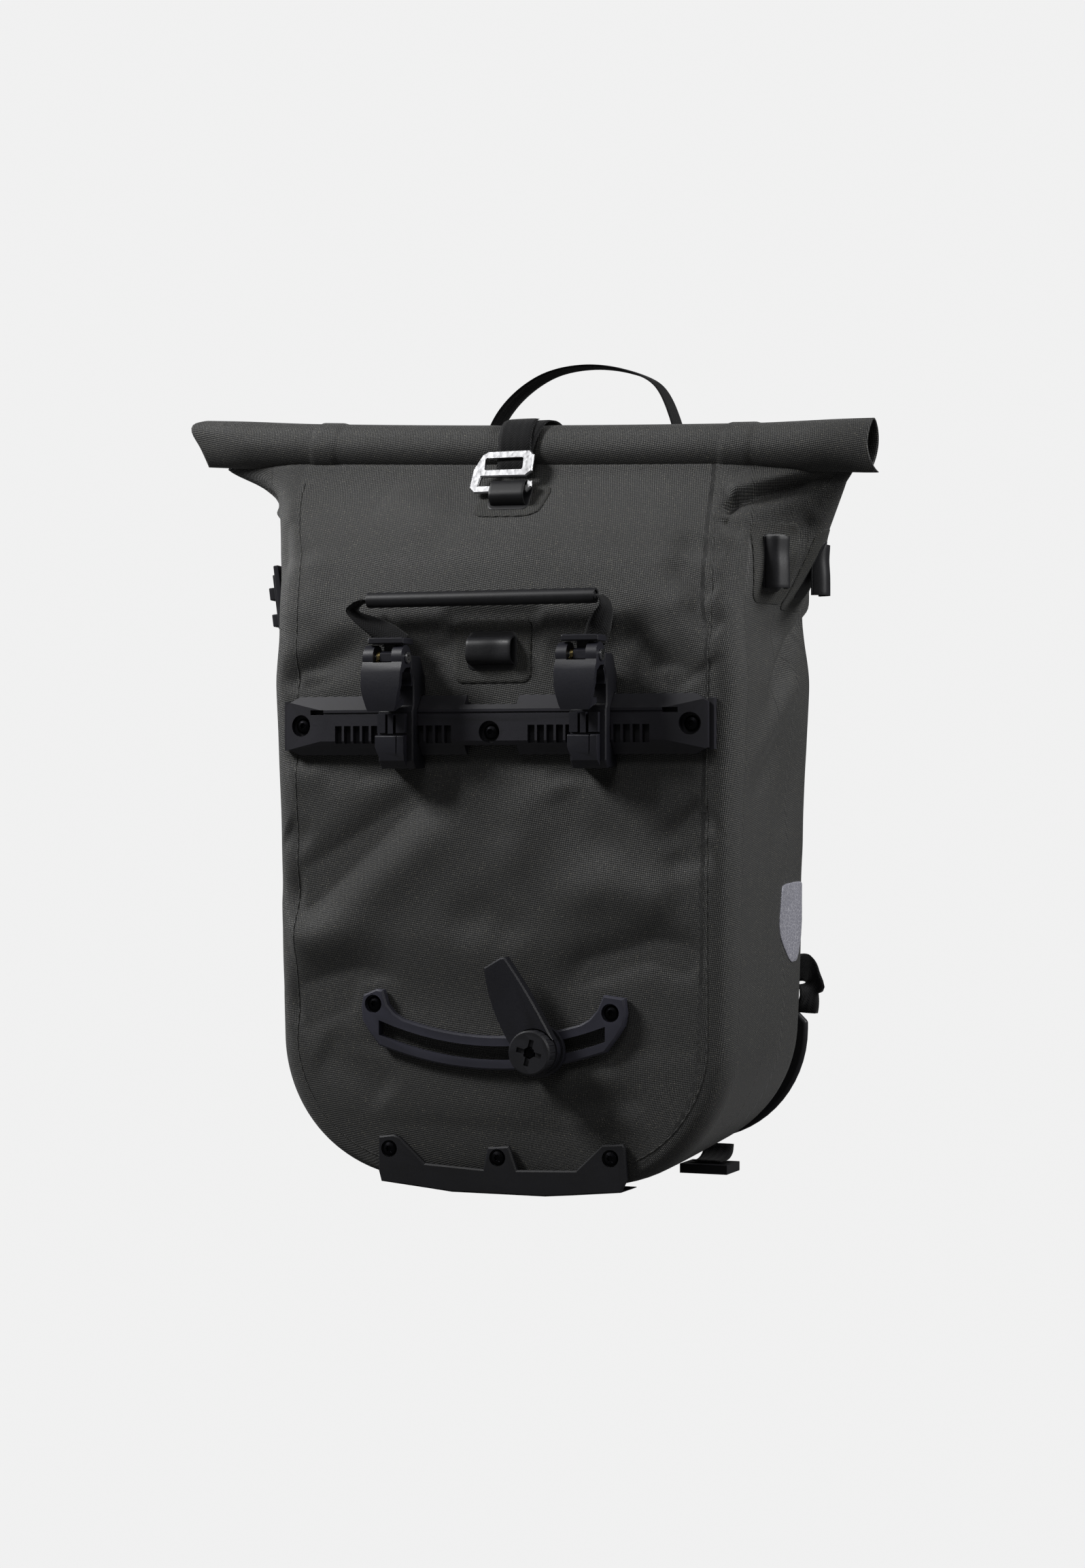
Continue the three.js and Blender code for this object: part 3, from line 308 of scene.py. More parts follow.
def retro_film(name):
    """Retroreflective film: fine honeycomb cells, silver-lavender."""
    n = Nodes(name)
    obj = n.coords("Object")
    cells = n.voronoi(obj, 420.0, "DISTANCE_TO_EDGE")
    wall = n.span(cells, 0.02, 0.09)
    base = n.mix(wall, srgb(206, 206, 214), srgb(160, 160, 172))
    base = n.mix(n.span(n.noise(obj, 40.0, 3.0), 0.3, 0.7, 0.0, 0.2), base, srgb(184, 184, 194))
    return n.finish(base, n.span(cells, 0, 0.2, 0.5, 0.36), n.bump(wall, 0.03e-3),
                    Metallic=0.25, Specular_IOR_Level=0.5)


# each cloth's dark and light tones are its painted shade in the weave's hollows and its painted highlight on
# the crowns; the third is the pale speck colour
CHARCOAL = (srgb(9, 9, 9), srgb(82, 82, 81), srgb(184, 178, 158))
SHELL = coated_cloth("shell_cloth", *CHARCOAL)
ROLL_CLOTH = coated_cloth("roll_cloth", *CHARCOAL)
PATCH_CLOTH = coated_cloth("patch_cloth", srgb(28, 28, 27), srgb(60, 60, 57), srgb(150, 142, 120))
PLASTIC = moulded_plastic("black_plastic", srgb(21, 21, 25), srgb(31, 30, 37))
HOOK_PLASTIC = moulded_plastic("hook_plastic", srgb(20, 20, 24), srgb(30, 30, 37), 0.42)
SLATE = moulded_plastic("slate_plastic", srgb(44, 44, 53), srgb(56, 56, 67), 0.44)
GUARD = moulded_plastic("guard_plastic", srgb(17, 17, 20), srgb(25, 25, 30), 0.5)
KNOB = moulded_plastic("knob_plastic", srgb(22, 22, 25), srgb(34, 34, 38), 0.45)
BUCKLE = moulded_plastic("buckle_plastic", srgb(20, 20, 22), srgb(32, 32, 35), 0.42)
BOARD = moulded_plastic("board_plastic", srgb(20, 20, 22), srgb(28, 28, 30), 0.6)
WEBBING = woven_strap("webbing", srgb(8, 8, 9), srgb(26, 26, 28))
RUBBER = coated_rubber("rubber", srgb(18, 18, 21), srgb(27, 27, 31))
BRIGHT = metal("bright_metal", srgb(150, 150, 152), srgb(206, 206, 208), 0.34)
PIN = metal("pin_steel", srgb(200, 200, 202), srgb(238, 238, 238), 0.2, 700.0, 0.02e-3)
BRASS = metal("spring_brass", srgb(150, 132, 84), srgb(206, 188, 136), 0.28, 900.0, 0.02e-3)
SCREW = metal("screw_steel", srgb(18, 18, 20), srgb(38, 38, 41), 0.36, 900.0, 0.02e-3)
FOAM = mesh_foam("foam_cover", srgb(10, 10, 11), srgb(44, 44, 46))
REFLECT = retro_film("reflective")

SLOT_MATERIAL = {
    "shell_fabric": SHELL, "roll_fabric": ROLL_CLOTH, "patch_fabric": PATCH_CLOTH,
    "board_plastic": BOARD, "rail_plastic": PLASTIC, "hook_plastic": HOOK_PLASTIC,
    "slate_plastic": SLATE, "guard_plastic": GUARD, "knob_plastic": KNOB,
    "buckle_plastic": BUCKLE, "webbing": WEBBING, "rubber": RUBBER, "foam_cover": FOAM,
    "bright_metal": BRIGHT, "pin_steel": PIN, "spring_brass": BRASS, "screw_steel": SCREW,
    "reflective": REFLECT,
}


# ---------------------------------------------------------------- mesh helpers
def mesh_object(name, points, faces, material, uv=None):
    """points in millimetres of the drawing; uv per vertex in metres."""
    mesh = bpy.data.meshes.new(name)
    mesh.from_pydata(to_frame(points).tolist(), [], [tuple(int(i) for i in f) for f in faces])
    mesh.validate()
    if uv is not None:
        layer = mesh.uv_layers.new(name="UVMap")
        corners = np.zeros(len(mesh.loops), np.int32)
        mesh.loops.foreach_get("vertex_index", corners)
        layer.data.foreach_set("uv", np.asarray(uv, np.float32)[corners].ravel())
    mesh.materials.append(material)
    mesh.polygons.foreach_set("use_smooth", [True] * len(mesh.polygons))
    mesh.update()
    obj = bpy.data.objects.new(name, mesh)
    bpy.context.scene.collection.objects.link(obj)
    return obj


def apply_modifiers(obj):
    """Bakes an object's modifiers into its mesh."""
    graph = bpy.context.evaluated_depsgraph_get()
    mesh = bpy.data.meshes.new_from_object(obj.evaluated_get(graph))
    obj.modifiers.clear()
    obj.data = mesh
    return obj


def grid_faces(rows, columns, wrap=False):
    """Quads of a grid of rows x columns vertices; wrap joins the last column to the first."""
    faces = []
    last = columns if wrap else columns - 1
    for r in range(rows - 1):
        for c in range(last):
            d = (c + 1) % columns
            a, b = r * columns, (r + 1) * columns
            faces.append((a + c, a + d, b + d, b + c))
    return faces


def swept_faces(rows, columns):
    """Faces of a closed sweep of `rows` rings, capped at both ends."""
    ends = [tuple(range(columns))[::-1], tuple(range((rows - 1) * columns, rows * columns))]
    return grid_faces(rows, columns, True) + ends


def place(obj, body, cad=()):
    """Puts a piece on its body, in place of the CAD nodes it stands for."""
    if body:
        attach(obj, body)
    if cad:
        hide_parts(*cad)
    return obj


def smooth_path(points, step):
    """Points every `step` mm along a smooth curve through the given ones."""
    p = np.asarray(points, float)
    ends = np.vstack([2 * p[0] - p[1], p, 2 * p[-1] - p[-2]])
    fine = []
    for k in range(1, len(ends) - 2):
        a, b, c, d = ends[k - 1 : k + 3]
        for t in np.linspace(0, 1, 24, endpoint=False):
            fine.append(0.5 * (2 * b + (c - a) * t + (2 * a - 5 * b + 4 * c - d) * t**2
                               + (3 * b - a - 3 * c + d) * t**3))
    fine.append(p[-1])
    fine = np.array(fine)
    run = np.concatenate([[0], np.cumsum(np.linalg.norm(np.diff(fine, axis=0), axis=1))])
    count = max(int(round(run[-1] / step)), 2)
    at = np.linspace(0, run[-1], count + 1)
    return np.stack([np.interp(at, run, fine[:, k]) for k in range(3)], 1), at


def unit(v):
    return v / np.maximum(np.linalg.norm(v, axis=-1, keepdims=True), 1e-9)


STRAP_CROWN, STRAP_SIDES = 0.18, 9


def ribbon(name, points, across, width, thick, material, body, step=2.0, cad=()):
    """Closed webbing strap swept along points, flat across `across`, with soft selvedges."""
    line, at = smooth_path(points, step)
    tangent = unit(np.gradient(line, axis=0))
    keys = np.atleast_2d(np.asarray(across, float))
    share = np.linspace(0, 1, len(line))
    side = unit(np.stack([np.interp(share, np.linspace(0, 1, len(keys)), keys[:, k]) for k in range(3)], 1))
    side = unit(side - (side * tangent).sum(1, keepdims=True) * tangent)
    normal = np.cross(side, tangent)
    s = np.linspace(-1, 1, STRAP_SIDES)
    edge = np.sqrt(np.clip(1 - np.abs(s) ** 6, 0, 1))
    section = [(x * width / 2, thick / 2 * (e * (1 - STRAP_CROWN) + STRAP_CROWN * (1 - x * x) * e)) for x,
               e in zip(s, edge)]
    loop = section + [(x, -h) for x, h in reversed(section[1:-1])]
    pts, uv = [], []
    for i, p in enumerate(line):
        for x, h in loop:
            pts.append(p + side[i] * x + normal[i] * h)
            uv.append((x / MM, at[i] / MM))
    n = len(loop)
    faces = swept_faces(len(line), n)
    obj = mesh_object(name, pts, faces, material, uv)
    return place(obj, body, cad)


def smooth_table(table, sigma):
    """A 1 mm lookup of a [z, value] table, rounded where its slope changes."""
    t = np.array(table, float)
    z = np.arange(-60, 620)
    v = np.interp(z, t[:, 0], t[:, 1])
    k = np.exp(-0.5 * (np.arange(-40, 41) / sigma) ** 2)
    padded = np.pad(v, 40, mode="edge")
    v = np.convolve(padded, k / k.sum(), "valid")
    return lambda q: np.interp(q, z, v)


# ---------------------------------------------------------------- bag shell
CORNER_R, DEPTH = 90.0, 176.0
BODY_BOTTOM, BODY_TOP, FOLD_START = 6.5, 476.0, 365.0
BOTTOM_RISE = 11.0
ROLL_TILT = -0.0315
LOW_HALF = [[0, 156], [87, 158], [154, 160], [245, 161], [300, 163], [335, 165], [362, 163]]
half_right = smooth_table(LOW_HALF + [[385, 158], [417, 155], [440, 152], [476, 148]], 6)
half_left = smooth_table(LOW_HALF + [[400, 163], [420, 166], [440, 170], [458, 174], [476, 171]], 6)
RIGHT_EAR = [[378, 170], [392, 184], [417, 200], [432, 206], [443, 213], [458, 222], [470, 229], [476, 231]]
LEFT_EAR = [[385, 172], [417, 184], [440, 187], [454, 191], [462, 203], [468, 217], [474, 230], [476, 233]]
fold_right = smooth_table(LOW_HALF + RIGHT_EAR, 4)
fold_left = smooth_table(LOW_HALF + LEFT_EAR, 3)
front_y = smooth_table([[350, 0], [385, 3], [417, 14], [445, 27], [476, 45]], 8)
back_y = smooth_table([[350, 176], [385, 171], [417, 153], [445, 118], [476, 68]], 8)

FRONT_N, SIDE_N, BACK_N, EDGE_N, FOLD_N, REAR_N = 100, 40, 50, 14, 10, 12


def bezier(a, b, c, n):
    t = np.linspace(0, 1, n)[:, None]
    return (1 - t) ** 2 * a + 2 * t * (1 - t) * b + t**2 * c


def section(z, in_bottom):
    """Loop of (x, y) points of the bag at one height, from the middle of the front towards +x."""
    drop = math.sqrt(max(CORNER_R**2 - max(CORNER_R - in_bottom, 0) ** 2, 0))
    narrow = CORNER_R - drop
    edge = (narrow / CORNER_R) ** 2
    right, left = float(half_right(z)) - narrow, narrow - float(half_left(z))
    y0 = float(front_y(z)) + 7 * edge
    y1 = float(back_y(z)) - 20 * edge
    ym = (y0 + y1) / 2
    ease = float(smoothstep(z, FOLD_START, BODY_TOP))
    er, fr, br = lerp(19, 13, ease), 20, lerp(36, 12, ease)
    fr = min(fr, 0.45 * (y1 - y0))
    out = []
    corners = [
        (right, y0, er), (float(fold_right(z)) - narrow, ym, fr), (right, y1, br),
        (left, y1, br), (narrow - float(fold_left(z)), ym, fr), (left, y0, er),
    ]
    counts = [(EDGE_N, SIDE_N), (FOLD_N, SIDE_N), (REAR_N, BACK_N), (REAR_N, SIDE_N), (FOLD_N, SIDE_N),
              (EDGE_N, FRONT_N)]
    for k, ((x, y, r), (nc, ns)) in enumerate(zip(corners, counts)):
        px, py, _ = corners[k - 1]
        nx, ny, nr = corners[(k + 1) % 6]
        p, a, b = np.array([x, y]), np.array([px, py]), np.array([nx, ny])
        ra = min(r, 0.48 * np.linalg.norm(a - p))
        rb = min(r, 0.48 * np.linalg.norm(b - p))
        nr = min(nr, 0.48 * np.linalg.norm(b - p))
        start = p + unit(a - p) * ra
        stop = p + unit(b - p) * rb
        out.append(bezier(start, p, stop, nc))
        follow = b + unit(p - b) * nr
        t = np.linspace(0, 1, ns + 2)[1:-1, None]
        out.append(stop + (follow - stop) * t)
    return np.vstack(out)


def lift(points, level, z):
    """Height of a ring's points: the bottom rises to the back, the top leans with the roll."""
    x, y = points[:, 0], points[:, 1]
    rise = BOTTOM_RISE * (y / DEPTH) * max(1 - level / 200, 0)
    return z + rise + ROLL_TILT * x * float(smoothstep(z, FOLD_START, BODY_TOP))


def shell_grid():
    levels = np.concatenate([np.array([0, 0.4, 1.2, 2.4, 4, 6, 8.5]), np.arange(11, 400, 2.4),
                             np.arange(400, 469, 1.5), [469.5]])
    rows = []
    for level in levels:
        z = BODY_BOTTOM + level
        ring = section(z, level)
        rows.append(np.column_stack([ring, lift(ring, level, z)]))
    return np.array(rows)


def surface_normals(grid):
    """Outward normals of a wrapped grid of points."""
    around = np.roll(grid, -1, 1) - np.roll(grid, 1, 1)
    up = np.gradient(grid, axis=0)
    n = np.cross(around, up)
    return unit(n)


WAVE_COUNT = 7


def waves(x, y, z, seed, scale):
    """Smooth repeatable undulation between about -1 and 1."""
    rng = np.random.default_rng(seed)
    total = np.zeros_like(x)
    for _ in range(WAVE_COUNT):
        k = rng.normal(size=3)
        k *= (0.6 + 0.8 * rng.random()) / np.linalg.norm(k) / scale
        total += np.sin(x * k[0] + y * k[1] + z * k[2] + rng.random() * 6.28)
    return total / math.sqrt(WAVE_COUNT) / 1.2


# ---------------------------------------------------------------- shell sculpting
def distance_to(points, line):
    """Distance from each point to a polyline, the share along it, and which side it is on (z)."""
    near = np.full(len(points), 1e9)
    share = np.zeros(len(points))
    above = np.zeros(len(points))
    run = np.concatenate([[0], np.cumsum(np.linalg.norm(np.diff(line, axis=0), axis=1))])
    for k in range(len(line) - 1):
        a, d = line[k], line[k + 1] - line[k]
        t = np.clip(((points - a) @ d) / (d @ d), 0, 1)
        off = points - a - t[:, None] * d
        dist = np.linalg.norm(off, axis=1)
        hit = dist < near
        near[hit] = dist[hit]
        share[hit] = (run[k] + t[hit] * (run[k + 1] - run[k])) / run[-1]
        above[hit] = off[hit, 2]
    return near, share, above


def crease(points, line, width, depth, ends=(0.15, 0.15), sharp=0.0):
    """Relief of a fold that follows a 3-D line: negative depth is a valley. `sharp` narrows its
    upper flank, as where cloth laps over itself."""
    line = np.asarray(line, float)
    near, share, above = distance_to(points, line)
    wide = np.where(above > 0, width * (1 - sharp), width)
    fade = smoothstep(share, -0.001, ends[0]) * (1 - smoothstep(share, 1 - ends[1], 1.001))
    return depth * fade * np.exp(-((near / wide) ** 2.0))


FOLD_GAIN = 1.35

# valleys and crests: points on the shell (mm), width, depth
FOLDS = [
    # front panel, left of the middle: a long valley below the rail and the crest under it
    ([(-22, 0, 276), (-62, 0, 250), (-104, 0, 216), (-152, 0, 178)], 17, -4.6, (0.2, 0.12), 0.0),
    ([(-20, 0, 258), (-70, 0, 214), (-120, 0, 176), (-152, 0, 158)], 19, 2.6, (0.3, 0.1), 0.0),
    ([(-150, 0, 158), (-112, 0, 166), (-72, 0, 178)], 15, 2.4, (0.1, 0.5), 0.0),
    ([(-152, 0, 112), (-112, 0, 132), (-60, 0, 146)], 15, -2.6, (0.1, 0.4), 0.0),
    ([(-150, 0, 268), (-118, 0, 276)], 12, 1.4, (0.1, 0.4), 0.0),
    ([(-152, 0, 236), (-132, 0, 226)], 10, -1.8, (0.1, 0.4), 0.0),
    # front panel, middle and right
    ([(12, 0, 268), (20, 0, 236), (6, 0, 196)], 15, 1.6, (0.3, 0.4), 0.0),
    ([(46, 0, 268), (58, 0, 240), (88, 0, 212)], 13, -1.8, (0.2, 0.4), 0.0),
    ([(146, 0, 250), (126, 0, 236), (102, 0, 228)], 10, -2.6, (0.1, 0.5), 0.0),
    ([(146, 0, 226), (124, 0, 216), (108, 0, 208)], 9, -2.2, (0.1, 0.5), 0.0),
    ([(30, 0, 190), (76, 0, 200), (128, 0, 190)], 17, 2.8, (0.4, 0.2), 0.0),
    ([(36, 0, 134), (66, 0, 150), (108, 0, 162), (146, 0, 150)], 13, -3.0, (0.3, 0.2), 0.0),
    ([(-40, 0, 170), (-6, 0, 182), (24, 0, 160)], 14, -1.6, (0.3, 0.3), 0.0),
    ([(24, 0, 60), (52, 0, 76), (96, 0, 80)], 10, 1.4, (0.3, 0.3), 0.0),
    ([(36, 0, 52), (70, 0, 62), (108, 0, 62)], 9, -1.4, (0.3, 0.3), 0.0),
    ([(-130, 0, 92), (-96, 0, 76), (-74, 0, 58)], 14, -1.6, (0.2, 0.2), 0.0),
    # above the rail
    ([(-156, 0, 326), (-122, 0, 346), (-84, 0, 362)], 12, -3.2, (0.1, 0.4), 0.0),
    ([(-150, 0, 348), (-118, 0, 366), (-90, 0, 384)], 13, 1.8, (0.1, 0.4), 0.0),
    ([(88, 0, 378), (104, 0, 350), (128, 0, 322)], 15, -3.6, (0.3, 0.1), 0.0),
    ([(108, 0, 392), (126, 0, 366), (146, 0, 340)], 13, 1.6, (0.3, 0.1), 0.0),
    ([(110, 12, 412), (128, 8, 398), (146, 6, 384)], 9, -2.6, (0.4, 0.1), 0.0),
    ([(112, 18, 424), (132, 16, 416), (150, 20, 410)], 8, -1.8, (0.4, 0.1), 0.0),
    ([(124, 4, 384), (138, 3, 374), (152, 5, 362)], 8, -2.0, (0.4, 0.1), 0.0),
    ([(-60, 12, 412), (-20, 14, 418), (40, 12, 410)], 26, 1.8, (0.4, 0.4), 0.0),
    ([(-96, 34, 458), (-60, 26, 440), (-44, 20, 424)], 16, 1.4, (0.2, 0.4), 0.0),
    ([(-140, 12, 424), (-132, 4, 392), (-138, 0, 362)], 13, 1.8, (0.2, 0.3), 0.0),
    # left front edge: the gusset sinks behind the seam
    ([(-166, 20, 448), (-162, 14, 424), (-160, 8, 398)], 7, -2.4, (0.2, 0.4), 0.0),
    # right ear: the upper layer laps over the gusset
    ([(144, 26, 440), (152, 34, 446), (162, 41, 451), (177, 48, 456), (196, 55, 461), (212, 60, 466),
      (224, 62, 473)],
     5.0, -5.4, (0.06, 0.5), 0.45),
    ([(146, 34, 452), (162, 44, 458), (180, 50, 463), (204, 57, 469)], 6.5, 4.4, (0.1, 0.4), 0.0),
    ([(150, 30, 433), (166, 38, 440), (186, 48, 446), (204, 57, 452)], 6.5, 1.3, (0.2, 0.4), 0.0),
    ([(146, 24, 436), (150, 26, 428), (156, 28, 420)], 3.6, -2.0, (0.1, 0.4), 0.0),
    ([(196, 62, 440), (186, 58, 428), (176, 54, 420)], 7, -1.6, (0.3, 0.3), 0.0),
    ([(150, 24, 430), (154, 26, 418), (158, 28, 404)], 6, 1.2, (0.3, 0.3), 0.0),
    # right side: the ear's lower edge and the folds under it
    ([(163, 152, 376), (166, 132, 371), (166, 112, 362), (165, 92, 350), (164, 66, 330), (163, 44, 308)],
     10, -7.5, (0.02, 0.5), 0.45),
    ([(166, 128, 386), (170, 108, 376), (168, 84, 360), (165, 60, 344)], 10, 3.0, (0.05, 0.4), 0.0),
    ([(164, 122, 340), (164, 82, 318), (163, 40, 288), (160, 12, 262)], 13, 2.6, (0.1, 0.4), 0.0),
    ([(164, 90, 300), (163, 52, 276), (160, 20, 250)], 12, -2.0, (0.3, 0.4), 0.0),
    ([(164, 140, 300), (163, 110, 262), (162, 70, 226)], 18, -1.8, (0.3, 0.3), 0.0),
    ([(161, 150, 230), (160, 120, 190), (158, 80, 130)], 22, -1.6, (0.3, 0.3), 0.0),
    # left side, the mirror of it, softer
    ([(-163, 152, 374), (-167, 128, 366), (-166, 98, 350), (-164, 70, 326)], 11, -6.5, (0.02, 0.5), 0.4),
    ([(-166, 128, 384), (-169, 104, 374), (-166, 74, 356)], 10, 2.4, (0.05, 0.4), 0.0),
    ([(-164, 126, 336), (-164, 86, 312), (-162, 46, 286)], 13, 2.4, (0.1, 0.4), 0.0),
    ([(-163, 140, 290), (-162, 104, 246), (-160, 60, 206)], 19, -2.0, (0.3, 0.3), 0.0),
    # left ear: gathers that run out under the roll
    ([(-176, 45, 457), (-190, 52, 463), (-212, 58, 474)], 4.0, -3.2, (0.15, 0.2), 0.3),
    ([(-172, 40, 448), (-188, 54, 455), (-206, 62, 466)], 3.4, 1.8, (0.2, 0.3), 0.0),
    ([(-178, 66, 446), (-196, 68, 457), (-212, 66, 468)], 4.0, -2.0, (0.2, 0.3), 0.0),
    # back of the ears and the upper back
    ([(150, 110, 440), (176, 92, 448), (206, 78, 462)], 8, -4.0, (0.2, 0.3), 0.4),
    ([(-150, 110, 440), (-172, 94, 447), (-196, 80, 460)], 8, -4.0, (0.2, 0.3), 0.4),
    ([(-90, 140, 428), (-20, 128, 440), (70, 138, 428)], 16, -2.4, (0.3, 0.3), 0.0),
    ([(-120, 172, 398), (-70, 160, 410), (-10, 166, 402)], 14, 2.0, (0.3, 0.3), 0.0),
    ([(120, 172, 398), (74, 158, 412), (22, 164, 404)], 14, 1.8, (0.3, 0.3), 0.0),
]


ARC_R = 224.0  # the lower rail


def arc_z(x):
    return 316 - np.sqrt(np.maximum(ARC_R**2 - (x + 1.5) ** 2, 1))


def hardware_mask(x, z):
    """1 where the front panel may swell, 0 where fittings sit flat on it."""
    def box(x0, x1, z0, z1, soft=12.0):
        return (smoothstep(x, x0 - soft, x0) * (1 - smoothstep(x, x1, x1 + soft))
                * smoothstep(z, z0 - soft, z0) * (1 - smoothstep(z, z1, z1 + soft)))
    rail = box(-150, 150, 285, 324)
    hooks = box(-92, -34, 274, 352, 10) + box(42, 104, 274, 352, 10)
    loop = box(-32, 26, 330, 375, 9)
    lower = np.exp(-((z - arc_z(x)) / 15) ** 4) * (1 - smoothstep(np.abs(x + 1.5), 92, 106))
    ends = box(-96, -72, 104, 134, 8) + box(70, 94, 104, 134, 8)
    guard = box(-84, 92, -20, 38, 12)
    return 1 - np.clip(rail + hooks + loop + lower + ends + guard, 0, 1)


def shell_relief(points, normal):
    """How far each point of the shell moves out along its normal, in millimetres."""
    x, y, z = points.T
    front = smoothstep(-normal[:, 1], 0.45, 0.9)
    back = smoothstep(normal[:, 1], 0.5, 0.9)
    side = smoothstep(np.abs(normal[:, 0]), 0.4, 0.85)
    folds = np.zeros(len(points))
    for line, width, depth, ends, sharp in FOLDS:
        folds += crease(points, line, width, FOLD_GAIN * depth, ends, sharp)
    belly = (1 - (np.clip(np.abs(x), 0, 150) / 150) ** 2.4)
    low = smoothstep(z, 120, 170) * (1 - smoothstep(z, 255, 285))
    high = smoothstep(z, 322, 380) * (1 - smoothstep(z, 430, 474))
    foot = smoothstep(z, 30, 60) * (1 - smoothstep(z, 84, 100))
    swell = 4.2 * low + 3.0 * high + 1.6 * foot
    free = hardware_mask(x, z)
    drape = waves(x, y, z, 4, 46) * 0.55 + waves(x, y, z, 9, 19) * 0.16
    on_front = front * (swell * belly * free + np.where(folds > 0, folds * free, folds * (0.25 + 0.75 * free))
                        + drape * free)
    side_swell = (3.4 * smoothstep(z, 60, 140) * (1 - smoothstep(z, 330, 372))
                  * np.sin(np.clip((y - 8) / 160, 0, 1) * np.pi))
    elsewhere = (1 - front) * (folds + side * side_swell + drape * (1 - 0.6 * back))
    out = on_front + elsewhere
    flat_back = back * (1 - smoothstep(z, 372, 392))
    out = out * (1 - flat_back) + flat_back * np.minimum(0.3 * drape, 0.0)
    seam_x = 145 + 9 * smoothstep(z, 400, 457) * (x < 0) - 6 * smoothstep(z, 350, 440) * (x > 0)
    weld = np.exp(-((np.abs(x) - seam_x - 6) / 5) ** 4) * front * smoothstep(z, 95, 110)
    out += 0.35 * weld
    top = smoothstep(z, 464, 474)
    return out * (1 - top)


def board_clearance(points):
    """Keeps the front panel outside the stiffening board that lies behind it."""
    x, y, z = points.T
    behind = smoothstep(z, 70, 88) * (1 - smoothstep(z, 338, 352)) * (1 - smoothstep(np.abs(x), 140, 147))
    limit = lerp(40.0, 1.5, behind)
    over = np.maximum(y - limit, 0) * (y < 12)
    return np.column_stack([x, y - over, z])


def build_shell():
    grid = shell_grid()
    rows, columns, _ = grid.shape
    points = grid.reshape(-1, 3)
    normal = surface_normals(grid).reshape(-1, 3)
    middle = np.array([0, 88, 0])
    if ((points - middle) * normal)[:, :2].sum() < 0:
        normal = -normal
    keep = smoothstep(points[:, 2] - BODY_BOTTOM, -1, 14)
    out = shell_relief(points, normal) * keep
    moved = board_clearance(points + normal * out[:, None])
    grid = moved.reshape(rows, columns, 3)
    # the rim is drawn in under the roll, and the bottom closes with a soft edge
    rim = grid[-1]
    neck = []
    for t in (0.35, 0.7, 1.0):
        ring = rim.copy()
        ring[:, 1] = lerp(rim[:, 1], 56 + (rim[:, 1] - 56) * 0.35, t)
        ring[:, 2] = rim[:, 2] + 9 * t
        ring[:, 0] = rim[:, 0] * (1 - 0.02 * t)
        neck.append(ring)
    floor = []
    base = grid[0]
    cx, cy = 0.0, (base[:, 1].min() + base[:, 1].max()) / 2
    for shrink, drop in ((0.985, 0.9), (0.96, 1.5), (0.9, 1.9), (0.75, 2.1), (0.5, 2.2), (0.25, 2.2),
                         (0.04, 2.2)):
        ring = base.copy()
        ring[:, 0] = cx + (base[:, 0] - cx) * shrink
        ring[:, 1] = cy + (base[:, 1] - cy) * shrink
        slope = BOTTOM_RISE * (ring[:, 1] / DEPTH)
        ring[:, 2] = BODY_BOTTOM + slope - drop
        floor.append(ring)
    grid = np.concatenate([np.array(floor[::-1]), grid, np.array(neck)])
    rows = len(grid)
    points = grid.reshape(-1, 3)
    around = np.cumsum(np.linalg.norm(np.diff(grid[rows // 2], axis=0, append=grid[rows // 2][:1]), axis=1))
    up = np.concatenate([[0], np.cumsum(np.abs(np.diff(grid[:, 0, 2])) + 1e-3)])
    uv = np.stack(np.meshgrid(around / MM, up / MM), -1).reshape(-1, 2)
    faces = swept_faces(rows, columns)
    obj = mesh_object("shell", points, faces, SHELL, uv)
    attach(obj, "bag")
    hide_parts("bag_body")
    return grid


shell_points = build_shell()
shell_tree = BVHTree.FromPolygons(
    [Vector(p) for p in shell_points.reshape(-1, 3)],
    grid_faces(shell_points.shape[0], shell_points.shape[1], True),
)


def onto_shell(point, direction, off=0.0):
    """The drawing point where a ray from `point` meets the shell, moved `off` back out."""
    d = Vector(direction).normalized()
    hit, normal, _, _ = shell_tree.ray_cast(Vector(point), d)
    if hit is None:
        hit, normal, _, _ = shell_tree.find_nearest(Vector(point))
    if normal.dot(d) > 0:
        normal = -normal
    return np.array(hit + normal * off), np.array(normal)


# ---------------------------------------------------------------- rolled top
ROLL_Y, ROLL_Z, ROLL_R = 56.0, 493.0, 16.3
LAYER, INNER_R = 2.3, 8.2
ROLL_STEPS, ROLL_STATIONS = 150, 300


def roll_end(angle, layer):
    """x of the cut ends, for each angle (degrees, 90 up, 180 towards the front)."""
    def near(at, wide):
        d = (angle - at + 180) % 360 - 180
        return np.exp(-((d / wide) ** 2))
    right = 240 - 3.5 * near(185, 52) + 2.0 * near(262, 16) + 2.5 * near(10, 60) - 7 * layer
    left = -239.5 - 8.0 * near(148, 34) + 3.5 * near(240, 45) + 6 * layer
    return left, right


def roll_sag(x):
    """The strap pulls the middle of the roll down, and the right end hangs a little."""
    return -4.3 + 0.5 * (x / 240) * -3.8 + 3.0 * (x / 240) ** 2


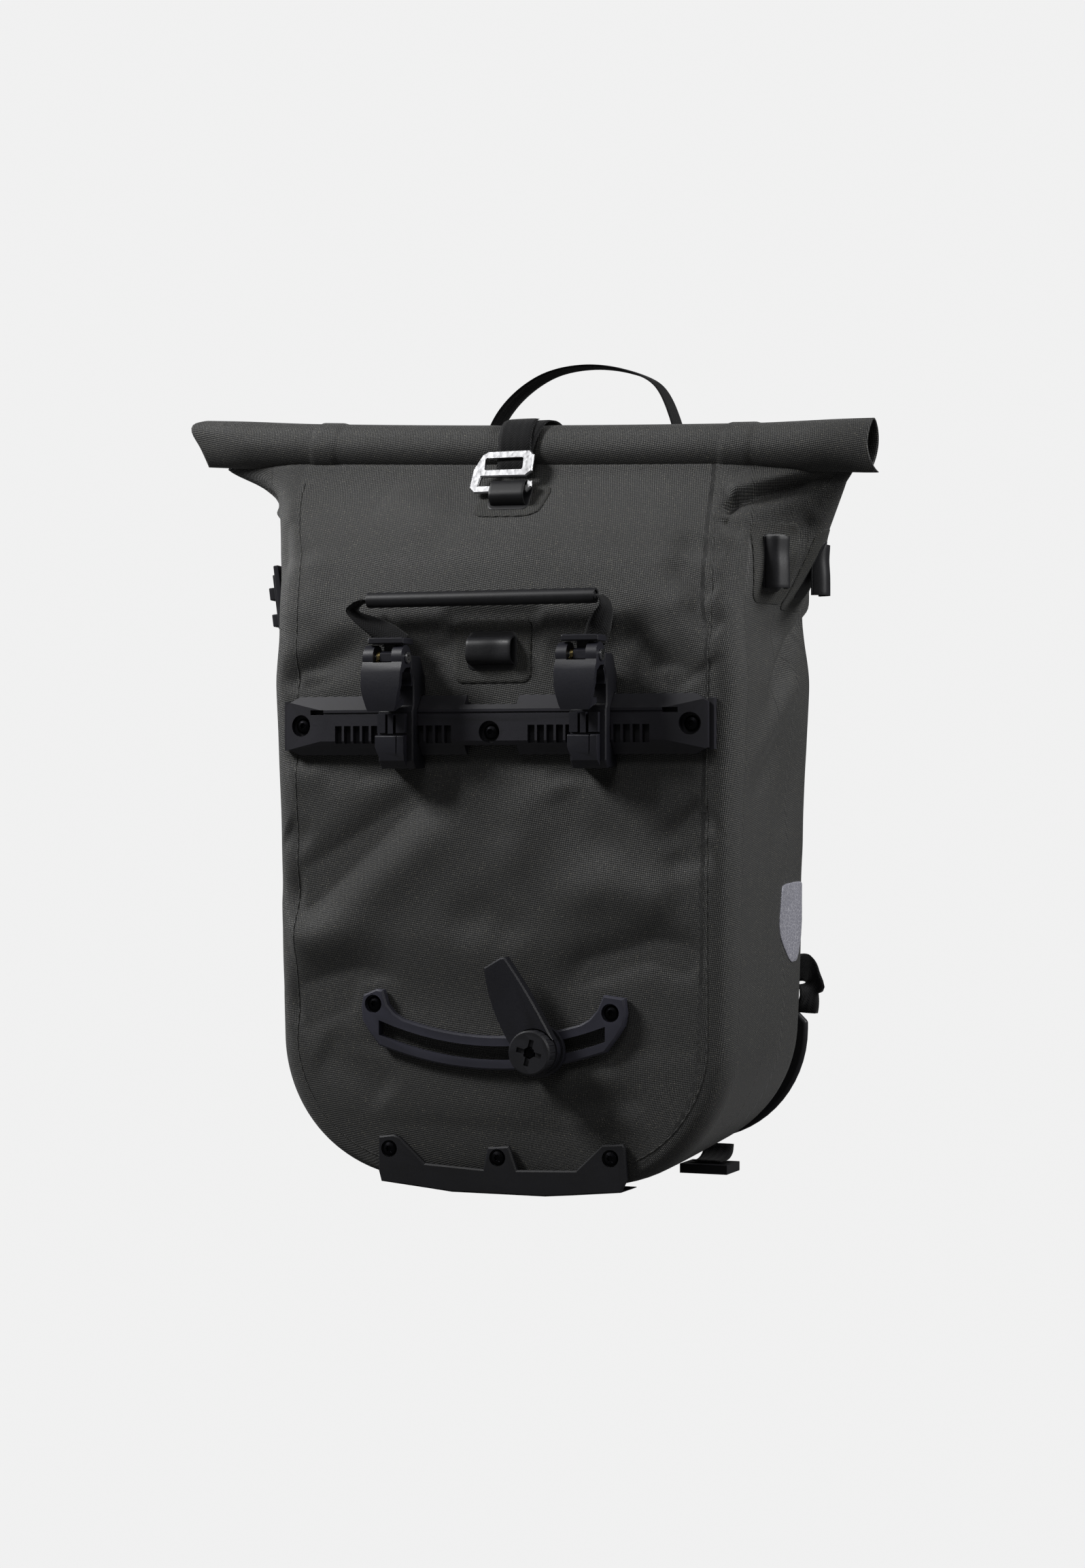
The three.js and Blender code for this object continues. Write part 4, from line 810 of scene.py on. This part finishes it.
def build_roll():
    turns = (ROLL_R - INNER_R) / LAYER
    phase = np.linspace(0, 1, ROLL_STEPS)
    angle = 252 + 360 * turns * (phase - 1)  # the outer edge meets the bag underneath
    rows = []
    base_r = INNER_R + (ROLL_R - INNER_R) * phase
    layer = turns * (1 - phase)
    left, right = roll_end(angle, layer)
    for s in np.linspace(0, 1, ROLL_STATIONS):
        x = left + (right - left) * s
        a = np.radians(angle)
        r = base_r.copy()
        outer = smoothstep(layer, 1.15, 0.85)
        at_left = smoothstep(-x, 190, 244)
        at_right = smoothstep(x, 205, 242)
        d148 = (angle - 148 + 180) % 360 - 180
        r += at_left * (2.4 * np.exp(-((d148 / 22) ** 2)) - 0.9 * (1 - np.exp(-((d148 / 60) ** 2))))
        d262 = (angle - 262 + 180) % 360 - 180
        r += at_right * 1.2 * np.exp(-((d262 / 20) ** 2)) * outer
        flat = 1 - 0.52 * smoothstep(x, 196, 240) - 0.3 * smoothstep(-x, 200, 242)
        for lo, hi in ((-153, -133), (138, 160)):
            lean = 2.5 * np.sin(a)
            r += outer * 0.85 * smoothstep(x - lean, lo, lo + 2.2) * (1 - smoothstep(x - lean, hi - 4.0, hi))
        r += 0.22 * waves(x, a * 14, a * 0, 21, 34) + 0.14 * waves(x, a * 20, a * 0, 22, 90)
        r += 1.3 * smoothstep(-x, 150, 235) + 1.7 * smoothstep(x, 150, 235)
        strap_dip = np.exp(-(((x + 3) / 17) ** 6)) * 0.5 * outer
        r = r - strap_dip
        y = ROLL_Y + r * flat * np.cos(a)
        z = ROLL_Z + ROLL_TILT * x + roll_sag(x) + r * np.sin(a)
        rows.append(np.column_stack([x, y, z]))
    rows = np.array(rows)
    run = np.concatenate([[0], np.cumsum(np.hypot(*np.diff(rows[ROLL_STATIONS // 2][:, 1:], axis=0).T))])
    uv = np.stack([np.tile(run, (ROLL_STATIONS, 1)) / MM, rows[:, :, 0] / MM], -1).reshape(-1, 2)
    faces = grid_faces(ROLL_STATIONS, ROLL_STEPS)
    obj = mesh_object("rolled_top", rows.reshape(-1, 3), faces, ROLL_CLOTH, uv)
    thick = obj.modifiers.new("cloth", "SOLIDIFY")
    thick.thickness = 0.0009
    thick.offset = 0
    apply_modifiers(obj)
    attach(obj, "bag")
    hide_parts("roll_top")


build_roll()


# ---------------------------------------------------------------- weld lines
WELD_R, WELD_SINK = 0.32, 0.15


def weld_line(name, points, direction):
    """A fine raised weld edge: points are dropped onto the shell along `direction`."""
    line, at = smooth_path(points, 2.5)
    path, ups = [], []
    for k, p in enumerate(line):
        d = direction[k * len(direction) // len(line)] if isinstance(direction, list) else direction
        q, n = onto_shell(p - np.array(d) * 60, d, WELD_R - WELD_SINK)
        path.append(q)
        ups.append(n)
    path, ups = np.array(path), np.array(ups)
    tangent = unit(np.gradient(path, axis=0))
    side = np.cross(tangent, ups)
    pts, uv = [], []
    for i in range(len(path)):
        for k in range(6):
            a = math.tau * k / 6
            pts.append(path[i] + side[i] * math.cos(a) * WELD_R * 1.5 + ups[i] * math.sin(a) * WELD_R * 0.7)
            uv.append((k * 0.0005, at[i] / MM))
    faces = swept_faces(len(path), 6)
    obj = mesh_object(name, pts, faces, SHELL, uv)
    return place(obj, "bag")


SEAM_R = 84.0


def panel_seam(side):
    """The front panel's seam: down one side, round the bottom corner, in under the protector."""
    top = [(-156, 42, 470), (-156, 34, 457), (-151.5, 21, 433), (-147, 14, 418), (-144.6, 4, 390),
           (-143.6, 0, 360)]
    if side > 0:
        top = [(140, 26, 440), (141, 20, 430), (143.6, 9, 403), (145, 2, 376), (144.4, 0, 336)]
    low = [(side * 143.4, 0, z) for z in (300, 250, 200, 150, 116)]
    cx, cz = 143.4 - SEAM_R, 17.5 + SEAM_R
    bend = [(side * (cx + SEAM_R * math.cos(a)), 0, cz - SEAM_R * math.sin(a))
            for a in np.linspace(0.06, 1.5, 12)]
    return top + low + bend


for side, label in ((-1, "left"), (1, "right")):
    weld_line(f"panel_seam_{label}", panel_seam(side), (0, 1, 0))


# ---------------------------------------------------------------- loops and their welded bases
def loop_piece(name, at, heading, lean, length, tall, deep, cad, upright=False, crush=0.0, wall=1.3):
    """A folded loop of coated webbing: a soft D-shaped sleeve, open at both ends, on a thin base.
    Local axes: u along the opening, v across it, w out of the shell."""
    w = np.array([math.sin(heading) * math.cos(lean), -math.cos(heading) * math.cos(lean), -math.sin(lean)])
    flat = np.array([math.cos(heading), math.sin(heading), 0.0])
    rise = np.cross(w, flat)
    rise = rise if rise[2] > 0 else -rise
    u, v = (rise, flat) if upright else (flat, rise)
    section = []
    for t in np.linspace(0, math.pi, 34):
        c, s = math.cos(t), math.sin(t)
        vv = tall / 2 * np.sign(c) * abs(c) ** 0.55
        ww = deep * s ** 0.75
        section.append((vv * (1 - 0.10 * s), ww))
    section = [(tall / 2 + 2.2, 0.25)] + section + [(-tall / 2 - 2.2, 0.25)]
    section = np.array(section)
    stations = np.linspace(-length / 2, length / 2, 15)
    pts, uv = [], []
    run = np.concatenate([[0], np.cumsum(np.hypot(*np.diff(section, axis=0).T))])
    for s in stations:
        k = 1 - crush * math.exp(-(((s - length * 0.2) / (length * 0.22)) ** 2))
        for (vv, ww), r in zip(section, run):
            pts.append(np.asarray(at) + u * s + v * vv + w * ww * k)
            uv.append((r / MM, s / MM))
    obj = mesh_object(name, pts, grid_faces(len(stations), len(section)), RUBBER, uv)
    solid = obj.modifiers.new("wall", "SOLIDIFY")
    solid.thickness = wall / 1000
    solid.offset = -1
    rounded = obj.modifiers.new("edge", "BEVEL")
    rounded.width = 0.0004
    rounded.segments = 2
    rounded.limit_method = "ANGLE"
    apply_modifiers(obj)
    return place(obj, "bag", [cad])


front_at, _ = onto_shell((-3, -40, 352.5), (0, 1, 0), -0.2)
loop_piece("front_gear_loop", front_at, 0.0, 0.0, 31, 19, 9.4, "gear_loop_front", crush=0.12)
for label, at, heading in (("side_front", (170.5, 47.5, 408), 1.02),
                           ("side_rear", (190, 86, 405), math.pi / 2)):
    out = np.array([math.sin(heading), -math.cos(heading), 0])
    spot, _ = onto_shell(np.array(at) + out * 40, -out, -0.2)
    loop_piece(f"{label}_gear_loop", spot, heading, 0.0, 33, 15.5, 8.4, f"gear_loop_{label}", upright=True,
               crush=0.08)
spot, _ = onto_shell(np.array([-3, 30.6, 456.8]) - 30 * np.array([0, math.cos(0.5), -math.sin(0.5)]),
                     (0, math.cos(0.5), -math.sin(0.5)), -0.2)
loop_piece("closure_anchor", spot, 0.0, -0.5, 24.5, 18, 10.2, "closure_loop", wall=0.9)


# ---------------------------------------------------------------- patches on the shell
def dense(outline, step=1.5):
    """Closed outline with a point about every `step` mm."""
    loop = np.vstack([outline, outline[:1]])
    out = []
    for a, b in zip(loop[:-1], loop[1:]):
        n = max(int(np.linalg.norm(b - a) / step), 1)
        out.extend(a + (b - a) * k / n for k in range(n))
    return np.array(out)


CORNER_ROUNDS = 3


def soft_corners(outline):
    p = np.asarray(outline, float)
    for _ in range(CORNER_ROUNDS):
        q = np.roll(p, -1, 0)
        p = np.stack([0.84 * p + 0.16 * q, 0.16 * p + 0.84 * q], 1).reshape(-1, p.shape[1])
    return p


def decal(name, outline, direction, height, material, cad=()):
    """A thin welded patch that lies on the shell: the outline is dropped onto it along `direction`."""
    d = unit(np.asarray(direction, float))
    rim = dense(soft_corners(outline))
    middle = rim.mean(0)
    rings = []
    for share, off in ((1.0, -0.3), (0.999, height * 0.6), (0.985, height), (0.9, height), (0.7, height),
                       (0.45, height), (0.2, height), (0.04, height)):
        ring = []
        for p in middle + (rim - middle) * share:
            hit, _ = onto_shell(p - d * 30, d)
            ring.append(hit - d * off)
        rings.append(ring)
    pts = np.array(rings)
    n = pts.shape[1]
    faces = grid_faces(len(rings), n, True)
    faces.append(tuple(range((len(rings) - 1) * n, len(rings) * n)))
    side = unit(np.cross(d, (0, 0, 1.0)))
    rise = np.cross(side, d)
    flat = pts.reshape(-1, 3)
    uv = np.stack([flat @ side / MM, flat @ rise / MM], 1)
    obj = mesh_object(name, flat, faces, material, uv)
    return place(obj, "bag", cad)


def round_rect(w, h, r, k=6):
    out = []
    for cx, cy, a0 in ((w / 2 - r, h / 2 - r, 0), (-w / 2 + r, h / 2 - r, 90),
                       (-w / 2 + r, -h / 2 + r, 180), (w / 2 - r, -h / 2 + r, 270)):
        for t in np.linspace(0, 90, k):
            a = math.radians(a0 + t)
            out.append((cx + r * math.cos(a), cy + r * math.sin(a)))
    return np.array(out)


for side, label in ((-1, "left"), (1, "right")):
    shape = [(-31, 23), (-22, 25), (29, 26), (31, 8), (12, -27), (-6, -28), (-31, -6)]
    decal(f"reflector_film_{label}", [(side * 170, 126 + u, 175 + v) for u, v in shape], (-side, 0, 0), 0.7,
          REFLECT, [f"reflector_{label}"])

lean = np.array([0, math.cos(0.5), -math.sin(0.5)])
up_slope = np.array([0, math.sin(0.5), math.cos(0.5)])
trapezoid = [(-28, -14), (20, -14), (27, 13), (-20, 13)]
decal("closure_base", [np.array([-1 + u, 29.9, 452.6]) + up_slope * v for u, v in trapezoid], lean, 0.7,
      PATCH_CLOTH, ["closure_patch"])
patch = [np.array([-3 + u, 0, 352.5 + v]) for u, v in round_rect(54, 42, 6)]
decal("front_loop_base", patch, (0, 1, 0), 0.7, PATCH_CLOTH, ["gear_patch_front"])
window = [np.array([-3 + u, 0, 352.5 + v]) for u, v in round_rect(35, 26, 5)]
decal("front_loop_window", window, (0, 1, 0), 0.95, RUBBER)
for label, x, y, z, turn in (("front", 170.5, 47.5, 408, 1.02), ("rear", 190, 86, 405, math.pi / 2)):
    out = np.array([math.sin(turn), -math.cos(turn), 0])
    across = np.array([math.cos(turn), math.sin(turn), 0])
    middle = np.array([x, y, z])
    patch = [middle + across * u + np.array([0, 0, v]) for u, v in round_rect(38, 52, 7)]
    decal(f"side_{label}_loop_base", patch, -out, 0.6, PATCH_CLOTH)
    window = [middle + across * u + np.array([0, 0, v]) for u, v in round_rect(20, 37, 4)]
    decal(f"side_{label}_loop_window", window, -out, 0.85, RUBBER)
window = [np.array([-3 + u, 29.9, 455.5]) + up_slope * v for u, v in round_rect(29, 22, 4)]
decal("closure_window", window, lean, 0.95, RUBBER)


# ---------------------------------------------------------------- straps
WEB = 25.0
strap_r = ROLL_R + 1.6
TOP_Z = ROLL_Z + roll_sag(-3)
over = [(12, 75, 482)] + [(-3 + 15 * max(0, 1 - a / 190) ** 0.8,
                           ROLL_Y + strap_r * math.cos(math.radians(a)),
                           TOP_Z + strap_r * math.sin(math.radians(a)))
                         for a in range(0, 206, 20)] + [(-3, 38.7, 480), (-3, 36.8, 472.5)]
ribbon("closure_strap_inner", over, (1, 0, 0), WEB, 1.5, WEBBING, "bag", step=1.5, cad=["closure_strap"])
tail_r = strap_r + 1.7
back_fold = [(-2.2, 36.0, 472.0), (-2.2, 35.4, 478)] + [
    (-2.2, ROLL_Y + tail_r * math.cos(math.radians(a)), TOP_Z + tail_r * math.sin(math.radians(a)))
    for a in range(200, 96, -14)]
ribbon("closure_strap_outer", back_fold, (1, 0, 0), WEB - 1.2, 1.3, WEBBING, "bag", step=1.5)

ribbon("grab_strap", [(-40, 90, 481), (-37, 88, 505), (-22, 88, 526), (2, 88, 541), (30, 88, 545.5),
                      (58, 88, 541.5),
                      (80, 88, 531), (92, 88, 508), (97, 90, 481)], (0, 1, 0.0), WEB, 1.8, WEBBING, "bag",
                      cad=["grab_handle"])

HANDLE_Y, HANDLE_Z = -14.0, 386.0
HANDLE_TWIST = {
    "left": [(0, 1, 0), (0.2, 1, 0.1), (0.6, 0.8, 0.4), (0.8, 0.3, 0.5), (0.8, 0.1, 0.5)],
    "right": [(0, 1, 0), (0.2, 1, 0.0), (0.7, 0.8, 0), (1, 0.3, -0.1), (1, 0.1, -0.1)],
}
for label, end, low, out in (("left", -87.4, -60.5, -8), ("right", 76.4, 73.0, 4)):
    path = [(end, HANDLE_Y, HANDLE_Z), (end + out * 0.7, HANDLE_Y, HANDLE_Z - 2.2),
            (end + out, HANDLE_Y, HANDLE_Z - 8),
            ((end + out * 0.7 + low) / 2, HANDLE_Y, HANDLE_Z - 19), (low, HANDLE_Y, 356)]
    leg = ribbon(f"handle_webbing_{label}", path, HANDLE_TWIST[label], 16, 1.7, WEBBING, "", step=1.2,
                 cad=[f"handle_leg_{label}"])
    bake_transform(leg)


TUBE_STEP, TUBE_SIDES = 0.5, 10


def tube(name, points, radius, material, body, cad=()):
    line, _ = smooth_path(points, TUBE_STEP)
    tangent = unit(np.gradient(line, axis=0))
    normal = np.zeros(3) + np.array([1.0, 0, 0])
    pts = []
    for i, p in enumerate(line):
        normal = normal - (normal @ tangent[i]) * tangent[i]
        normal = unit(normal)
        other = np.cross(tangent[i], normal)
        for k in range(TUBE_SIDES):
            a = math.tau * k / TUBE_SIDES
            pts.append(p + radius * (normal * math.cos(a) + other * math.sin(a)))
    faces = swept_faces(len(line), TUBE_SIDES)
    obj = mesh_object(name, pts, faces, material, np.zeros((len(pts), 2)))
    return place(obj, body, cad)


for label, hx in (("left", -63.5), ("right", 70.0)):
    coil = []
    for k in range(0, 3 * 16 + 1):
        a = math.radians(200) + math.tau * k / 16
        coil.append((hx - 5.9 + 2.3 * k / 48, -32 + 4.25 * math.cos(a), 347.5 + 4.25 * math.sin(a)))
    tube(f"torsion_spring_{label}", coil, 0.42, BRASS, f"hook_{label}",
         [f"hook_{label}_spring"])

for side, label in ((-1, "left"), (1, "right")):
    path = [(side * 86, 200.8, 123), (side * 112, 201.0, 127), (side * 134, 199.5, 136),
            (side * 149, 192.8, 140),
            (side * 158, 180.8, 136), (side * 159, 173.8, 124), (side * 153, 181.5, 110)]
    twist = [(0, 0.12, 1)] * 4 + [(0, 0.2, 1), (side * 0.3, 0.4, 0.6), (side * 0.75, 0.45, -0.1)]
    ribbon(f"lower_strap_{label}", path, twist, 19, 1.7, WEBBING, "bag", cad=[f"lower_webbing_{label}"])
    path = [(side * 92, 179.5, 18), (side * 92, 177, 12), (side * 92, 168, 8.6), (side * 92, 154, 8.4)]
    ribbon(f"bottom_strap_{label}", path, (1, 0, 0), 22, 1.5, WEBBING, "bag", cad=[f"bottom_tab_{label}"])


# ---------------------------------------------------------------- padding
def pad_mesh(name, rings, body, cad):
    pts = np.array(rings)
    n = pts.shape[1]
    faces = swept_faces(len(pts), n)
    flat = pts.reshape(-1, 3)
    obj = mesh_object(name, flat, faces, FOAM, np.stack([flat[:, 0] / MM, flat[:, 2] / MM], 1))
    place(obj, body, cad)
    return obj


PAD_LOW, PAD_HIGH, PAD_BACK = 100.0, 372.0, 176.6
rim = dense(round_rect(236, PAD_HIGH - PAD_LOW, 34, 12), 3.0)
rings = []
for share, rise in ((0.985, 0.0), (1.0, 1.4), (1.0, 3.2), (0.992, 5.0), (0.97, 5.4), (0.94, 6.8),
                    (0.90, 9.0), (0.86, 9.9), (0.8, 10.3),
                    (0.72, 10.5), (0.64, 10.6), (0.56, 10.6), (0.48, 10.6), (0.4, 10.6), (0.32, 10.6),
                    (0.24, 10.6),
                    (0.16, 10.6), (0.08, 10.6), (0.01, 10.6)):
    p = rim * share
    x, z = p[:, 0], p[:, 1]
    groove = np.exp(-((x / 9) ** 4)) + np.exp(-(((z - 52) / 5) ** 4)) + np.exp(-(((z + 40) / 5) ** 4))
    y = PAD_BACK + rise - (3.8 * np.clip(groove, 0, 1) if rise > 8 else 0)
    rings.append(np.column_stack([x, np.broadcast_to(y, x.shape), z + (PAD_LOW + PAD_HIGH) / 2]))
pad_mesh("back_cushion", rings, "bag", ["back_pad"])

for side, label in ((-1, "left"), (1, "right")):
    line, at = smooth_path([(side * x, 0, z) for x,
                            z in ((30, 366), (46, 330), (66, 285), (80, 240), (85, 200), (86, 168))], 3)
    width = np.interp(at / at[-1], np.linspace(0, 1, 6), [50, 56, 60, 58, 50, 38])
    tangent = unit(np.gradient(line, axis=0))
    across = np.cross(tangent, (0, 1.0, 0))
    rings = []
    for i, p in enumerate(line):
        w = width[i] / 2 * (1 if 0 < i < len(line) - 1 else 0.96)
        ring = []
        fat = 9.6 * (0.55 if i in (0, len(line) - 1) else 0.9 if i in (1, len(line) - 2) else 1)
        for t in np.linspace(0, math.tau, 36, endpoint=False):
            c, s = math.cos(t), math.sin(t)
            sx = math.copysign(abs(c) ** 0.42, c)
            sy = math.copysign(abs(s) ** 0.6, s)
            seam = 1 - 0.55 * math.exp(-(((abs(sx) - 0.86) / 0.05) ** 2))
            ring.append(p + across[i] * sx * w + np.array([0, 193.0 + fat / 2 * sy * seam, 0]))
        rings.append(ring)
    pad_mesh(f"shoulder_pad_{label}", rings, "bag", [f"shoulder_strap_{label}"])


# ---------------------------------------------------------------- CAD pieces
def node_slots():
    """Material slot of each node, from the record kept in the frame."""
    return {part["node"]: part["material_slot"] for part in frame["record"]["subparts"]}


EDGE = 0.00035
WIDE_EDGE = {"mounting_rail": 0.0009, "lower_rail": 0.0009, "edge_protector": 0.0008, "foot_finger": 0.0008,
             "hook_left_body": 0.0006, "hook_right_body": 0.0006, "hook_left_flap": 0.0007,
             "hook_right_flap": 0.0007,
             "back_frame": 0.001, "lug_plate": 0.0006}


def finish_nodes():
    """Rounds the edges of every hard piece and gives it its material."""
    slots = node_slots()
    for name in NODES:
        obj = bpy.data.objects.get(name)
        if obj is None:
            continue
        material = SLOT_MATERIAL[slots[name]]
        obj.data.materials.clear()
        obj.data.materials.append(material)
        weld = obj.modifiers.new("weld", "WELD")
        weld.merge_threshold = 1e-5
        flat = obj.modifiers.new("flat", "DECIMATE")
        flat.decimate_type = "DISSOLVE"
        flat.angle_limit = math.radians(0.2)
        bevel = obj.modifiers.new("bevel", "BEVEL")
        bevel.width = WIDE_EDGE.get(name, EDGE)
        bevel.segments = 2
        bevel.limit_method = "ANGLE"
        bevel.angle_limit = math.radians(24)
        bevel.use_clamp_overlap = True
        normals = obj.modifiers.new("normals", "WEIGHTED_NORMAL")
        normals.keep_sharp = False
        obj.data.polygons.foreach_set("use_smooth", [True] * len(obj.data.polygons))


finish_nodes()


# ---------------------------------------------------------------- light and backdrop
def area_light(name, at, aim, size, power):
    data = bpy.data.lights.new(name, "AREA")
    data.shape = "RECTANGLE"
    data.size, data.size_y = size
    data.energy = power
    obj = bpy.data.objects.new(name, data)
    bpy.context.scene.collection.objects.link(obj)
    obj.location = at
    obj.rotation_euler = (Vector(aim) - Vector(at)).to_track_quat("-Z", "Y").to_euler()
    return obj


PAPER = 0.877  # the backdrop that the camera sees
SKY_LIGHT = 0.055  # what the backdrop gives to the bag
area_light("key", (-1.15, -0.85, 1.45), (0, 0, 0.42), (0.45, 0.45), 26)
area_light("fill_right", (1.6, 0.05, 1.15), (0, 0, 0.40), (0.7, 0.8), 22)
area_light("front_soft", (0.3, -1.5, 1.7), (0, 0, 0.46), (0.9, 0.6), 4.5)
area_light("rim_left", (-1.5, 0.35, 0.95), (0, 0, 0.36), (0.5, 1.0), 7)

world = bpy.data.worlds.new("world")
bpy.context.scene.world = world
world.use_nodes = True
tree = world.node_tree
tree.nodes.clear()
seen, lit = (tree.nodes.new("ShaderNodeBackground") for _ in range(2))
seen.inputs["Color"].default_value = (PAPER, PAPER, PAPER, 1)
lit.inputs["Color"].default_value = (1, 1, 1, 1)
lit.inputs["Strength"].default_value = SKY_LIGHT
rays = tree.nodes.new("ShaderNodeLightPath")
choose = tree.nodes.new("ShaderNodeMixShader")
sky = tree.nodes.new("ShaderNodeOutputWorld")
tree.links.new(rays.outputs["Is Camera Ray"], choose.inputs[0])
tree.links.new(lit.outputs[0], choose.inputs[1])
tree.links.new(seen.outputs[0], choose.inputs[2])
tree.links.new(choose.outputs[0], sky.inputs["Surface"])
bpy.context.scene.view_settings.view_transform = "Standard"

floor_mesh = bpy.data.meshes.new("floor")
reach = 1.5
floor_mesh.from_pydata([(-reach, -reach, 0), (reach, -reach, 0), (reach, reach, 0), (-reach, reach, 0)], [],
                       [(0, 1, 2, 3)])
floor = bpy.data.objects.new("floor", floor_mesh)
bpy.context.scene.collection.objects.link(floor)
paint = Nodes("floor_paint")
dull = paint.finish(srgb(90, 90, 90),
                    paint.span(paint.noise(paint.coords("Object"), 300.0, 2.0), 0.3, 0.7, 0.85, 0.95))
glow = paint.tree.nodes.new("ShaderNodeEmission")
glow.inputs["Color"].default_value = (PAPER, PAPER, PAPER, 1)
floor_rays = paint.tree.nodes.new("ShaderNodeLightPath")
floor_mix = paint.tree.nodes.new("ShaderNodeMixShader")
paint.link(floor_rays.outputs["Is Camera Ray"], floor_mix.inputs[0])
paint.link(paint.shader.outputs[0], floor_mix.inputs[1])
paint.link(glow.outputs[0], floor_mix.inputs[2])
paint.link(floor_mix.outputs[0], paint.out.inputs["Surface"])
floor_mesh.materials.append(dull)
